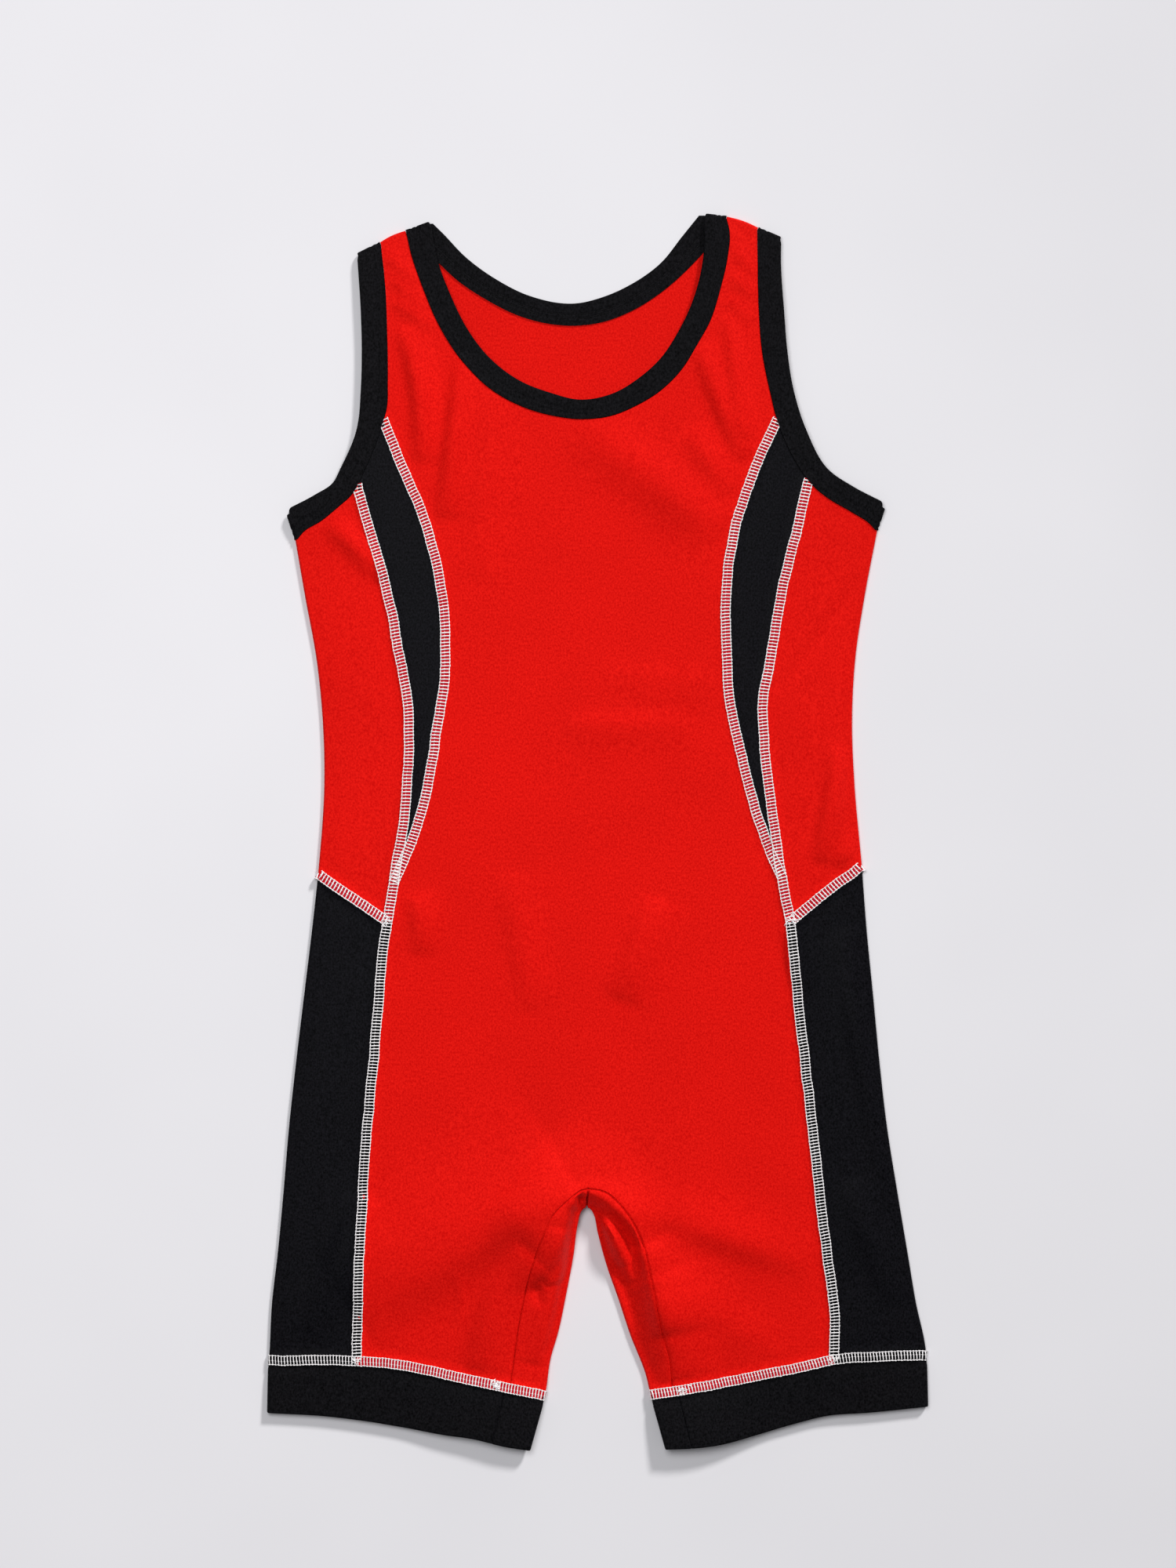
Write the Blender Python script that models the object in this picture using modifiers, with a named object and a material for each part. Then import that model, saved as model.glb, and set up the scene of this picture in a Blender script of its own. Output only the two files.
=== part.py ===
"""Wrestling singlet laid flat, front up, built from its cut and sewn pieces of cloth.

Metres, +Z up, +Y from the hems to the shoulders, +X to the right of someone who looks down
at the front. The origin is on the surface below, under the middle of the garment's box.

Two layers lie on each other. Side panels, thigh panels and gussets are sewn between the front
and the back, and turn round the creases of the sides and of the inner legs. Each piece is an
open surface with a Solidify wall, and neighbours keep a small gap at their common seam.
"""

import math
from collections import namedtuple

import bmesh
import bpy
import numpy as np
from mathutils.geometry import delaunay_2d_cdt
from mathutils.kdtree import KDTree

MM = 0.001
COLLECTION = "wrestling_singlet"

# Driving sizes, in metres
PANEL_WALL = 1.0 * MM
BAND_WALL = 1.6 * MM
SEAM_GAP = 0.3 * MM
LAYER_STEP = 2.0 * MM      # from the middle of the back wall to the middle of the front wall at a crease
CREASE_REACH = 1.0 * MM    # how far the middle of the wall bulges past a crease line
LOFT = 1.2 * MM            # how much further the front stands off the back, away from creases
LOFT_REACH = 25.0 * MM
GARMENT_MIDDLE = (5.3 * MM, 362.4 * MM)   # of the lines below, which puts the box on the origin

# Mesh sizes, in metres
CURVE_STEP = 1.0 * MM
SEAM_STEP = 15.0 * MM
CROTCH_STEP = 3.0 * MM
CROTCH_SPAN = 0.1          # share of the inner-leg crease with those shorter steps
FRONT_SPACING = 19.0 * MM
BACK_SPACING = 25.0 * MM
SEARCH_STEP = 3.0 * MM     # between the points that stand for a crease or a border in a search
BORDER_CLEARANCE = 0.55    # of the spacing, kept between inner points and the outline
MERGE_DISTANCE = 1e-7
CREASE_SEGMENTS = 4
HALF_TURN_DEGREES = (55, 20)
BINDING_COLUMNS = 2
HEM_COLUMNS = 3

# The lines of the pattern as it lies. Each is a short table of the places that its shape needs,
# from the top down or from the side in: x from the centre front (minus is the viewer's left)
# and y above the lowest hem, in mm. A smooth curve runs through them.
Line = namedtuple("Line", "x y")

FRONT_NECK_OPENING = Line(
    x=(-92, -88.5, -80.3, -70, -58, -39.5, -22, -5, 14.5, 30, 43, 52, 60.5, 65.3, 68, 68),
    y=(718.3, 698.5, 676, 655.5, 640, 626, 619.2, 615.2, 618.8, 628, 640, 653.5, 671, 686.5,
       704.5, 722.8),
)
FRONT_NECK_SEAM = Line(
    x=(-106.5, -103.5, -96.5, -88, -71.5, -55.5, -36, -19, -3, 13, 28, 42, 53, 65.5, 71, 77.5,
       82, 83, 82.6, 81),
    y=(713.2, 700, 680, 660, 635, 620, 610, 605.4, 603.6, 605.4, 611.5, 620, 630.5, 650, 660, 680,
       700, 709, 715.5, 721.5),
)
BACK_NECK_OPENING = Line(
    x=(-91, -84.5, -72.5, -54.5, -34.5, -7, 9.5, 24, 43, 55, 65),
    y=(718.8, 712.4, 699.8, 686.5, 676.5, 672, 676, 682.5, 696, 711, 723.4),
)
BACK_NECK_SEAM = Line(
    x=(-106.5, -88.5, -75.5, -58, -39.5, -24, -8, 9, 26, 44, 60, 68.5, 81),
    y=(713.2, 698, 686, 674.5, 665.5, 661.3, 660, 662.3, 669, 680.7, 695.2, 704.5, 721.5),
)

LEFT = {
    "armhole_opening": Line(
        x=(-135.2, -133, -132.5, -133, -135.7, -145.4, -149, -160, -175.9),
        y=(699.3, 665, 640, 622, 597, 574, 567, 559.5, 551.2),
    ),
    "armhole_seam": Line(
        x=(-121.4, -118.7, -117.7, -117.3, -117.7, -120.6, -132.5, -137, -146, -156.5, -166.5,
           -170.3),
        y=(706.4, 680, 655, 625, 611, 600, 570, 561, 552.5, 544, 538, 533.5),
    ),
    "outer_princess": Line(
        x=(-135.2, -128, -120.9, -114.9, -110.1, -105.6, -104.8, -107.2, -112.7, -117.3),
        y=(565, 539, 515, 491.5, 464, 436, 409.5, 374.5, 339, 309.5),
    ),
    "inner_princess": Line(
        x=(-119.8, -108, -97.2, -89.9, -85.1, -83.7, -84.6, -88.3, -93.4, -102.1, -108.5, -113.8),
        y=(603, 574, 548.3, 523.5, 496.8, 464, 445.3, 424, 392, 359.7, 344, 332),
    ),
    "side_crease": Line(
        x=(-170.3, -164.6, -157.9, -154.2, -153.3, -156.3, -160.2, -164.6, -169.6, -174,
           -177.2, -180.7, -183.9, -185.7, -187, -186.3),
        y=(533.5, 500.5, 463.7, 427, 390, 344, 307, 270.5, 229, 188.6, 151, 114, 86.5, 53.4, 40, 21.7),
    ),
    "hip_seam": Line(x=(-157, -138.7, -117.3), y=(336.5, 324, 309.5)),
    "leg_seam": Line(
        x=(-117.3, -119.7, -123.4, -129.8, -133.1, -134.9, -135.4),
        y=(309.5, 295, 252, 183, 124.7, 77.3, 53.4),
    ),
    "hem_seam": Line(
        x=(-185.7, -139.4, -113.2, -93.8, -67.2, -44.6, -26.3),
        y=(52.5, 52.7, 50.6, 46.9, 41, 36.4, 32.3),
    ),
    "hem_edge": Line(
        x=(-186.3, -153.2, -130.2, -107.6, -84.6, -67.2, -47.8, -35.5),
        y=(21.7, 19.8, 17, 13.3, 9.2, 6.9, 2.3, 0.4),
    ),
    "gusset_seam": Line(
        x=(0.3, -4.5, -11, -19.8, -26.7, -32.2, -36.3, -40.9, -43.2, -45.8),
        y=(153.9, 152.6, 147.7, 139.4, 125, 109, 94.3, 70.8, 54.3, 37.5),
    ),
    "inner_crease": Line(
        x=(-0.7, -3.8, -5.6, -7.2, -9.8, -13.9, -19, -23.1, -26.3, -29.2, -35.5),
        y=(143.2, 142.4, 139.5, 133, 114, 92, 68, 54, 33.2, 22, 0.4),
    ),
}
RIGHT = {
    "armhole_opening": Line(
        x=(113.2, 113, 115, 116.5, 120.5, 128, 141, 155, 173.4),
        y=(708.8, 698, 665, 646, 620.5, 597, 574, 564.5, 555.0),
    ),
    "armhole_seam": Line(
        x=(99.3, 100, 102, 107.5, 110, 124.5, 129, 139, 155, 165, 168.3),
        y=(715, 669, 643, 616, 605.5, 574, 567.5, 558.5, 549, 542.6, 539),
    ),
    "outer_princess": Line(
        x=(128.8, 122.8, 115, 109.7, 106.7, 102.6, 103.5, 107.6, 113.2, 118.4),
        y=(567.5, 541, 510.6, 481.6, 464, 441.6, 406.6, 374.4, 336.3, 309.5),
    ),
    "inner_princess": Line(
        x=(110.5, 97.5, 88.8, 82.8, 80.5, 81.4, 82.3, 89.7, 100.3, 107.5, 113.2),
        y=(603, 574, 549, 522.5, 495, 464, 445, 406.5, 368.5, 348, 336.3),
    ),
    "side_crease": Line(
        x=(168.3, 160.9, 155.4, 153.5, 154.9, 159, 161.8, 165.9, 169.8, 174, 180, 186.2, 190.8,
           196.8, 196.9, 197.6),
        y=(539, 500.5, 463.7, 427, 390, 344, 307, 265, 224.5, 188.6, 151, 114, 86.5, 56.6, 40, 25.3),
    ),
    "hip_seam": Line(x=(159.3, 140.3, 118.4), y=(341, 327.5, 309.5)),
    "leg_seam": Line(
        x=(118.4, 122.7, 130, 137.9, 142.8, 144.3, 143.8),
        y=(309.5, 265, 201, 129.7, 92, 77.3, 54.3),
    ),
    "hem_seam": Line(
        x=(196.8, 171.6, 144.4, 121.4, 98.9, 76.8, 60.3, 37.8),
        y=(55.7, 55, 53.4, 48.3, 43.7, 39.6, 36.4, 32.7),
    ),
    "hem_edge": Line(
        x=(197.6, 166.1, 138, 121.4, 98.9, 76.8, 60.3, 47),
        y=(25.3, 22.1, 19.8, 15.6, 9.2, 3.7, 1.8, 1.2),
    ),
    "gusset_seam": Line(
        x=(0.3, 10.1, 18.4, 26.7, 33.1, 37.3, 41.4, 44.2, 47.8, 49.7),
        y=(153.9, 151.8, 145, 134, 119, 101.2, 81.4, 68, 55.2, 35.5),
    ),
    "inner_crease": Line(
        x=(-0.7, 2.2, 4.2, 6.9, 12.1, 19, 25.9, 35.5, 37.8, 39.4, 47),
        y=(143.2, 142.6, 139.5, 128, 108.6, 88.8, 68, 43, 33.6, 29, 1.2),
    ),
}
SIDES = {"left": LEFT, "right": RIGHT}

# The largest folds of the front: a ridge, or a trough where rise is negative, from one end to the
# other, with its half width and its rise, in mm.
Fold = namedtuple("Fold", "from_x from_y to_x to_y half_width rise")
FOLDS = (
    Fold(-74, 640, -85, 550, 10, 2.0),
    Fold(66, 645, 90, 585, 10, 1.8),
    Fold(0, 597, 80, 537, 12, 2.2),
    Fold(147, 410, 136, 346, 10, 2.0),
    Fold(40, 322, 20, 268, 14, 1.6),
    Fold(-18, 150, -60, 124, 18, 6.0),
    Fold(-60, 124, -120, 84, 18, 5.0),
    Fold(-42, 112, -62, 54, 14, 3.6),
    Fold(23, 138, 120, 110, 14, 2.0),
    Fold(30, 130, 50, 50, 13, 5.5),
    Fold(148, 300, 180, 146, 12, 1.8),
    Fold(-134, 145, -165, 72, 11, 1.6),
)

# Where both layers stand up off the surface below, at the inner ends of the hems, in mm
Lift = namedtuple("Lift", "x y reach rise")
LIFTS = (
    Lift(-48, 0, 65, 3.5),
    Lift(60, 0, 55, 5.6),
    Lift(-1, 146, 48, 4.0),
)


def smooth(line):
    """A fine polyline, in metres, on the smooth curve through a line's places."""
    places = np.column_stack((line.x, line.y)) * MM
    chord = np.linalg.norm(np.diff(places, axis=0), axis=1)
    along = np.concatenate(([0.0], np.cumsum(chord)))
    slope = np.diff(places, axis=0) / chord[:, None]
    before, after = chord[:-1, None], chord[1:, None]
    inner = (slope[:-1] * after + slope[1:] * before) / (before + after)
    tangent = np.vstack((slope[:1], inner, slope[-1:]))
    where = np.linspace(0.0, along[-1], max(2, round(along[-1] / CURVE_STEP)) + 1)
    cell = np.clip(np.searchsorted(along, where, side="right") - 1, 0, len(chord) - 1)
    size = chord[cell][:, None]
    t = (where - along[cell])[:, None] / size
    return (
        places[cell] * (1 + 2 * t) * (1 - t) ** 2
        + tangent[cell] * size * t * (1 - t) ** 2
        + places[cell + 1] * t**2 * (3 - 2 * t)
        + tangent[cell + 1] * size * t**2 * (t - 1)
    )


def travelled(curve):
    """The distance along a polyline to each of its points."""
    steps = np.linalg.norm(np.diff(curve, axis=0), axis=1)
    return np.concatenate(([0.0], np.cumsum(steps)))


def points_at(curve, shares):
    """The points of a curve at the given shares of its length."""
    along = travelled(curve)
    where = np.asarray(shares) * along[-1]
    return np.column_stack([np.interp(where, along, curve[:, k]) for k in range(2)])


def spaced(curve, step):
    """A curve resampled to equal steps of about the given length, with both of its ends."""
    count = max(1, round(travelled(curve)[-1] / step))
    return points_at(curve, np.linspace(0.0, 1.0, count + 1))


def split(curve, *places):
    """The runs of a curve between its ends and the points of it nearest to the given places."""
    cuts = [int(np.argmin(np.linalg.norm(curve - place, axis=1))) for place in places]
    cuts = [0, *cuts, len(curve) - 1]
    return [curve[a : b + 1] for a, b in zip(cuts, cuts[1:])]


def chain(*runs):
    """One polyline from runs that meet end to end."""
    return np.vstack([runs[0], *[run[1:] for run in runs[1:]]])


def ends_on(curve, start=None, end=None):
    """A curve whose ends are moved onto the given points."""
    curve = curve.copy()
    if start is not None:
        curve[0] = start
    if end is not None:
        curve[-1] = end
    return curve


def crotch_first(crease):
    """An inner-leg crease resampled, with short steps where it turns at the crotch."""
    near, far = split(crease, points_at(crease, [CROTCH_SPAN])[0])
    return chain(spaced(near, CROTCH_STEP), spaced(far, SEAM_STEP))


def pattern(side):
    """Every run of one side's lines, resampled so that neighbours share their points."""
    lines = {name: smooth(line) for name, line in SIDES[side].items()}
    inner, outer = lines["inner_princess"], lines["outer_princess"]
    strap, armhole, underarm = split(lines["armhole_seam"], inner[0], outer[0])
    upper, lower = split(outer, inner[-1])
    body, leg, hem = split(lines["side_crease"], lines["hip_seam"][0], lines["hem_seam"][0])
    gusset, centre_end = lines["gusset_seam"], lines["inner_crease"][0]
    inner_leg, hem_inner = split(lines["inner_crease"], lines["hem_seam"][-1])
    thigh_hem, front_hem, gusset_hem = split(lines["hem_seam"], lines["leg_seam"][-1], gusset[-1])
    runs = {
        "strap": strap,
        "insert_top": armhole,
        "underarm": underarm,
        "inner_princess": ends_on(inner, strap[-1], upper[-1]),
        "outer_upper": ends_on(upper, start=armhole[-1]),
        "outer_lower": lower,
        "body_crease": ends_on(body, start=underarm[-1]),
        "leg_crease": leg,
        "hip_seam": ends_on(lines["hip_seam"], body[-1], lower[-1]),
        "leg_seam": ends_on(lines["leg_seam"], lower[-1], thigh_hem[-1]),
        "thigh_hem": ends_on(thigh_hem, start=leg[-1]),
        "front_hem": front_hem,
        "gusset_hem": ends_on(gusset_hem, end=inner_leg[-1]),
        "gusset_seam": ends_on(gusset, end=front_hem[-1]),
        "inner_crease": inner_leg,
        "crotch_seam": np.vstack((gusset[0], centre_end)),
    }
    runs = {name: spaced(run, SEAM_STEP) for name, run in runs.items()}
    runs["inner_crease"] = crotch_first(inner_leg)
    runs["armhole_seam"] = chain(runs["strap"], runs["insert_top"], runs["underarm"])
    runs["hem_seam"] = chain(runs["thigh_hem"], runs["front_hem"], runs["gusset_hem"])
    runs["armhole_opening"] = lines["armhole_opening"]
    runs["hem_edge"] = ends_on(lines["hem_edge"], hem[-1], hem_inner[-1])
    return runs


PATTERN = {side: pattern(side) for side in SIDES}
FRONT_NECK = spaced(smooth(FRONT_NECK_SEAM), SEAM_STEP)
BACK_NECK = spaced(smooth(BACK_NECK_SEAM), SEAM_STEP)


def crease_tree():
    """A search tree of points on every crease, where the two layers are joined."""
    shoulders = [np.vstack((FRONT_NECK[k], PATTERN[side]["armhole_seam"][0]))
                 for k, side in ((0, "left"), (-1, "right"))]
    creases = [PATTERN[side][name] for side in SIDES
               for name in ("body_crease", "leg_crease", "inner_crease")]
    points = np.vstack([spaced(crease, SEARCH_STEP) for crease in creases + shoulders])
    tree = KDTree(len(points))
    for index, (x, y) in enumerate(points):
        tree.insert((x, y, 0.0), index)
    tree.balance()
    return tree


CREASES = crease_tree()


def raised(x, y):
    """How far both layers stand off the surface below at a point of the plan."""
    total = 0.0
    for lift in LIFTS:
        share = math.hypot(x / MM - lift.x, y / MM - lift.y) / lift.reach
        total += lift.rise * (1 - min(1.0, share) ** 2) ** 2
    return total * MM


def folded(x, y):
    """The height that the front's folds add at a point of the plan."""
    ridge = trough = 0.0
    for fold in FOLDS:
        run_x, run_y = fold.to_x - fold.from_x, fold.to_y - fold.from_y
        off_x, off_y = x / MM - fold.from_x, y / MM - fold.from_y
        share = (off_x * run_x + off_y * run_y) / (run_x**2 + run_y**2)
        share = min(1.0, max(0.0, share))
        distance = math.hypot(off_x - share * run_x, off_y - share * run_y)
        height = fold.rise * math.exp(-((distance / fold.half_width) ** 2))
        ridge = max(ridge, height)
        trough = min(trough, height)
    return (ridge + trough) * MM


def back_height(x, y, wall):
    """The height of the middle of the back layer's wall, which rests on the surface below."""
    return wall / 2 + raised(x, y)


def front_height(x, y, wall):
    """The height of the middle of the front layer's wall."""
    distance = CREASES.find((x, y, 0.0))[2]
    away = 1 - math.exp(-((distance / LOFT_REACH) ** 2))
    return back_height(x, y, wall) + LAYER_STEP + LOFT * away + folded(x, y) * away


def across(direction):
    """The unit vector to the right of a direction in the plan."""
    x, y = direction
    return np.array((y, -x)) / math.hypot(x, y)


def counter_clockwise(outline):
    """A closed outline, its last point not repeated, turned counter-clockwise."""
    x, y = outline[:, 0], outline[:, 1]
    area = np.sum(x * np.roll(y, -1) - np.roll(x, -1) * y)
    return outline if area > 0 else outline[::-1]


def inset(outline, distance):
    """A counter-clockwise outline moved inwards by a distance on every side."""
    ahead = np.roll(outline, -1, axis=0) - outline
    ahead /= np.linalg.norm(ahead, axis=1)[:, None]
    inward = np.column_stack((-ahead[:, 1], ahead[:, 0]))
    before = np.roll(inward, 1, axis=0)
    cosine = np.sum(inward * before, axis=1)[:, None]
    return outline + distance * (inward + before) / (1 + cosine)


def inside(points, outline):
    """Which points are inside a closed outline."""
    result = np.zeros(len(points), dtype=bool)
    x, y = points[:, 0], points[:, 1]
    for (ax, ay), (bx, by) in zip(outline, np.roll(outline, -1, axis=0)):
        if ay != by:
            crosses = (ay > y) != (by > y)
            result ^= crosses & (x < (bx - ax) * (y - ay) / (by - ay) + ax)
    return result


def filled(outline, spacing):
    """Points and triangles that fill an outline, whose own points come first."""
    low, high = outline.min(axis=0), outline.max(axis=0)
    row = spacing * math.sqrt(3) / 2
    grid = [(x + (j % 2) * spacing / 2, y)
            for j, y in enumerate(np.arange(low[1], high[1], row))
            for x in np.arange(low[0], high[0], spacing)]
    grid = np.array(grid)
    grid = grid[inside(grid, outline)]
    border = spaced(np.vstack((outline, outline[:1])), SEARCH_STEP)
    clearance = BORDER_CLEARANCE * spacing
    clear = [np.min(np.linalg.norm(border - point, axis=1)) > clearance for point in grid]
    grid = grid[np.array(clear, dtype=bool)] if len(grid) else grid.reshape(0, 2)
    points = [tuple(point) for point in np.vstack((outline, grid))]
    ring = [(k, (k + 1) % len(outline)) for k in range(len(outline))]
    result = delaunay_2d_cdt(points, ring, [], 1, MERGE_DISTANCE)
    return [tuple(point) for point in result[0]], result[2]


def turn(front, back, outward):
    """The points between a front point and the back point under it, round a crease."""
    points = []
    for k in range(1, CREASE_SEGMENTS):
        angle = math.pi * (0.5 - k / CREASE_SEGMENTS)
        middle = (front[2] + back[2]) / 2
        reach = CREASE_REACH * math.cos(angle)
        points.append((
            front[0] + outward[0] * reach,
            front[1] + outward[1] * reach,
            middle + (front[2] - back[2]) / 2 * math.sin(angle),
        ))
    return points


def half_turn(edge, other, outward):
    """The points from a layer's edge to the seam at the middle of a crease."""
    middle = (edge[2] + other[2]) / 2
    points = []
    for degrees in HALF_TURN_DEGREES:
        angle = math.radians(degrees)
        reach = CREASE_REACH * math.cos(angle)
        points.append((
            edge[0] + outward[0] * reach,
            edge[1] + outward[1] * reach,
            middle + (edge[2] - middle) * math.sin(angle),
        ))
    x, y, z = points[-1]
    points.append((x, y, middle + math.copysign(SEAM_GAP / 2, z - middle)))
    return points


def material(name, colour, roughness):
    """A plain cloth material."""
    made = bpy.data.materials.get(name) or bpy.data.materials.new(name)
    made.use_nodes = True
    shader = made.node_tree.nodes["Principled BSDF"]
    shader.inputs["Base Color"].default_value = (*colour, 1.0)
    shader.inputs["Roughness"].default_value = roughness
    shader.inputs["Metallic"].default_value = 0.0
    return made


def cloth(name, vertices, faces, wall, finish):
    """A piece of cloth: an open surface in the pattern's plan, and its wall."""
    middle_x, middle_y = GARMENT_MIDDLE
    mesh = bpy.data.meshes.new(name)
    mesh.from_pydata([(x - middle_x, y - middle_y, z) for x, y, z in vertices], [], faces)
    work = bmesh.new()
    work.from_mesh(mesh)
    bmesh.ops.recalc_face_normals(work, faces=work.faces)
    work.to_mesh(mesh)
    work.free()
    mesh.materials.append(finish(name))
    piece = bpy.data.objects.new(name, mesh)
    bpy.data.collections[COLLECTION].objects.link(piece)
    solidify = piece.modifiers.new("Wall", "SOLIDIFY")
    solidify.thickness = wall
    solidify.offset = 0.0
    solidify.use_even_offset = True
    return piece


def red_knit(name):
    """The red body fabric."""
    return material(name, (0.75, 0.01, 0.006), 0.6)


def black_knit(name):
    """The black fabric of the inserts and the thighs."""
    return material(name, (0.008, 0.008, 0.011), 0.6)


def black_band(name):
    """The black strips of the hems, the neck and the armholes."""
    return material(name, (0.006, 0.006, 0.008), 0.7)


def shoulder(side):
    """The ends of a side's strap along its shoulder crease: armhole side, then neck side."""
    neck_end = 0 if side == "left" else -1
    return PATTERN[side]["armhole_seam"][0], FRONT_NECK[neck_end]


def shoulder_outward(side):
    """The direction out of the garment at a shoulder."""
    armhole_end, neck_end = shoulder(side)
    direction = across(neck_end - armhole_end)
    return direction if direction[1] > 0 else -direction


def flat_piece(name, outline, height, spacing, finish, shoulders=()):
    """A panel on one layer, whose shoulder edges turn to the middle of the shoulder crease."""
    outline = inset(counter_clockwise(outline), SEAM_GAP / 2)
    points, faces = filled(outline, spacing)
    vertices = [(x, y, height(x, y, PANEL_WALL)) for x, y in points]
    faces = [tuple(face) for face in faces]
    other = back_height if height is front_height else front_height
    for side in shoulders:
        corners = [int(np.argmin(np.linalg.norm(outline - place, axis=1))) for place in shoulder(side)]
        outward = shoulder_outward(side)
        rows = []
        for corner in corners:
            x, y, z = vertices[corner]
            below = (x, y, other(x, y, PANEL_WALL))
            rows.append([corner])
            for point in half_turn((x, y, z), below, outward):
                rows[-1].append(len(vertices))
                vertices.append(point)
        for k in range(len(rows[0]) - 1):
            faces.append((rows[0][k], rows[1][k], rows[1][k + 1], rows[0][k + 1]))
    return cloth(name, vertices, faces, PANEL_WALL, finish)


def wrapped_piece(name, outline, crease, finish, first_outward=None):
    """A panel that lies on both layers and turns round a crease, one run of its outline."""
    outline = inset(counter_clockwise(outline), SEAM_GAP / 2)
    points, triangles = filled(outline, FRONT_SPACING)
    count = len(points)
    front = [(x, y, front_height(x, y, PANEL_WALL)) for x, y in points]
    back = [(x, y, back_height(x, y, PANEL_WALL)) for x, y in points]
    vertices = front + back
    faces = [tuple(face) for face in triangles]
    faces += [tuple(count + k for k in reversed(face)) for face in triangles]
    edge = [int(np.argmin(np.linalg.norm(outline - place, axis=1))) for place in crease]
    ahead = 1 if (edge[1] - edge[0]) % len(outline) == 1 else -1
    rows = []
    for k, corner in enumerate(edge):
        before, after = crease[max(0, k - 1)], crease[min(len(crease) - 1, k + 1)]
        outward = across(after - before) * ahead
        if k == 0 and first_outward is not None:
            outward = first_outward
        rows.append([corner])
        for point in turn(front[corner], back[corner], outward):
            rows[-1].append(len(vertices))
            vertices.append(point)
        rows[-1].append(count + corner)
    for first, second in zip(rows, rows[1:]):
        for k in range(CREASE_SEGMENTS):
            faces.append((first[k], second[k], second[k + 1], first[k + 1]))
    return cloth(name, vertices, faces, PANEL_WALL, finish)


def sections(seam, edge, columns, height):
    """Rows of points across a band, from its seam to its free edge."""
    shares = travelled(seam) / travelled(seam)[-1]
    edge = points_at(edge, shares)
    width = np.linalg.norm(edge - seam, axis=1)[:, None]
    seam = seam + (edge - seam) / width * SEAM_GAP / 2
    rows = []
    for inner, outer in zip(seam, edge):
        plan = [inner + (outer - inner) * k / columns for k in range(columns + 1)]
        rows.append([(x, y, height(x, y, BAND_WALL)) for x, y in plan])
    return rows


def round_crease(front_row, back_row, outward):
    """The rows of a band between its front and its back, round a crease."""
    turns = [turn(front, back, outward) for front, back in zip(front_row, back_row)]
    return [list(row) for row in zip(*turns)]


def band(name, rows):
    """A closed loop of cloth through rows of points."""
    vertices = [point for row in rows for point in row]
    width, count = len(rows[0]), len(rows)
    faces = []
    for r in range(count):
        following = (r + 1) % count
        for k in range(width - 1):
            faces.append((
                r * width + k, following * width + k, following * width + k + 1, r * width + k + 1,
            ))
    return cloth(name, vertices, faces, BAND_WALL, black_band)


def looped_band(name, front_rows, back_rows, outward_end, outward_start):
    """A band that runs along the front, turns, and comes back along the back."""
    rows = front_rows + round_crease(front_rows[-1], back_rows[-1], outward_end)
    rows += back_rows[::-1]
    rows += round_crease(front_rows[0], back_rows[0], outward_start)[::-1]
    return band(name, rows)


def legs_outline(side, top):
    """The outline of the front or back of one leg, from the hip down and up to the crotch."""
    runs = PATTERN[side]
    return chain(top, runs["leg_seam"], runs["front_hem"], runs["gusset_seam"][::-1])


def closed_at_shoulders(neck, halves):
    """The outline of a whole panel, from its neckline and its two halves down to the crotch."""
    return np.vstack((neck, halves["right"], halves["left"][::-1][1:]))


def front_panel():
    """The red front, with its straps and the inner fronts of both legs."""
    halves = {}
    for side, runs in PATTERN.items():
        top = chain(runs["strap"], runs["inner_princess"], runs["outer_lower"])
        halves[side] = legs_outline(side, top)
    outline = closed_at_shoulders(FRONT_NECK, halves)
    flat_piece("front_panel", outline, front_height, FRONT_SPACING, red_knit, SIDES)


def back_panel():
    """The red back, plain, as wide as the front with its inserts."""
    halves = {}
    for side, runs in PATTERN.items():
        top = chain(runs["strap"], runs["insert_top"], runs["outer_upper"], runs["outer_lower"])
        halves[side] = legs_outline(side, top)
    outline = closed_at_shoulders(BACK_NECK, halves)
    flat_piece("back_panel", outline, back_height, BACK_SPACING, red_knit, SIDES)


def insert(side):
    """The black curved insert between the front panel and a side panel."""
    runs = PATTERN[side]
    outline = chain(runs["insert_top"], runs["outer_upper"], runs["inner_princess"][::-1])[:-1]
    flat_piece(f"insert_{side}", outline, front_height, FRONT_SPACING, black_knit)


def side_panel(side):
    """The red side panel, round the body's side crease."""
    runs = PATTERN[side]
    princess = chain(runs["outer_upper"], runs["outer_lower"])
    outline = chain(runs["underarm"], runs["body_crease"], runs["hip_seam"], princess[::-1])[:-1]
    wrapped_piece(f"side_{side}", outline, runs["body_crease"], red_knit)


def thigh_panel(side):
    """The black thigh panel, round the leg's outer crease."""
    runs = PATTERN[side]
    outline = chain(runs["hip_seam"][::-1], runs["leg_crease"], runs["thigh_hem"],
                    runs["leg_seam"][::-1])[:-1]
    wrapped_piece(f"thigh_{side}", outline, runs["leg_crease"], black_knit)


def gusset(side):
    """The red inner-leg gusset, round the crotch and the leg's inner crease."""
    runs = PATTERN[side]
    outline = chain(runs["gusset_seam"], runs["gusset_hem"], runs["inner_crease"][::-1],
                    runs["crotch_seam"][::-1])[:-1]
    top, crotch = runs["crotch_seam"][0], runs["crotch_seam"][-1]
    down = (crotch - top) / np.linalg.norm(crotch - top)
    wrapped_piece(f"gusset_{side}", outline, runs["inner_crease"], red_knit, first_outward=down)


def neck_binding():
    """The black binding, one loop round the front and the back neckline."""
    front = sections(FRONT_NECK, smooth(FRONT_NECK_OPENING), BINDING_COLUMNS, front_height)
    back = sections(BACK_NECK, smooth(BACK_NECK_OPENING), BINDING_COLUMNS, back_height)
    looped_band("neck_binding", front, back, shoulder_outward("right"), shoulder_outward("left"))


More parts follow.
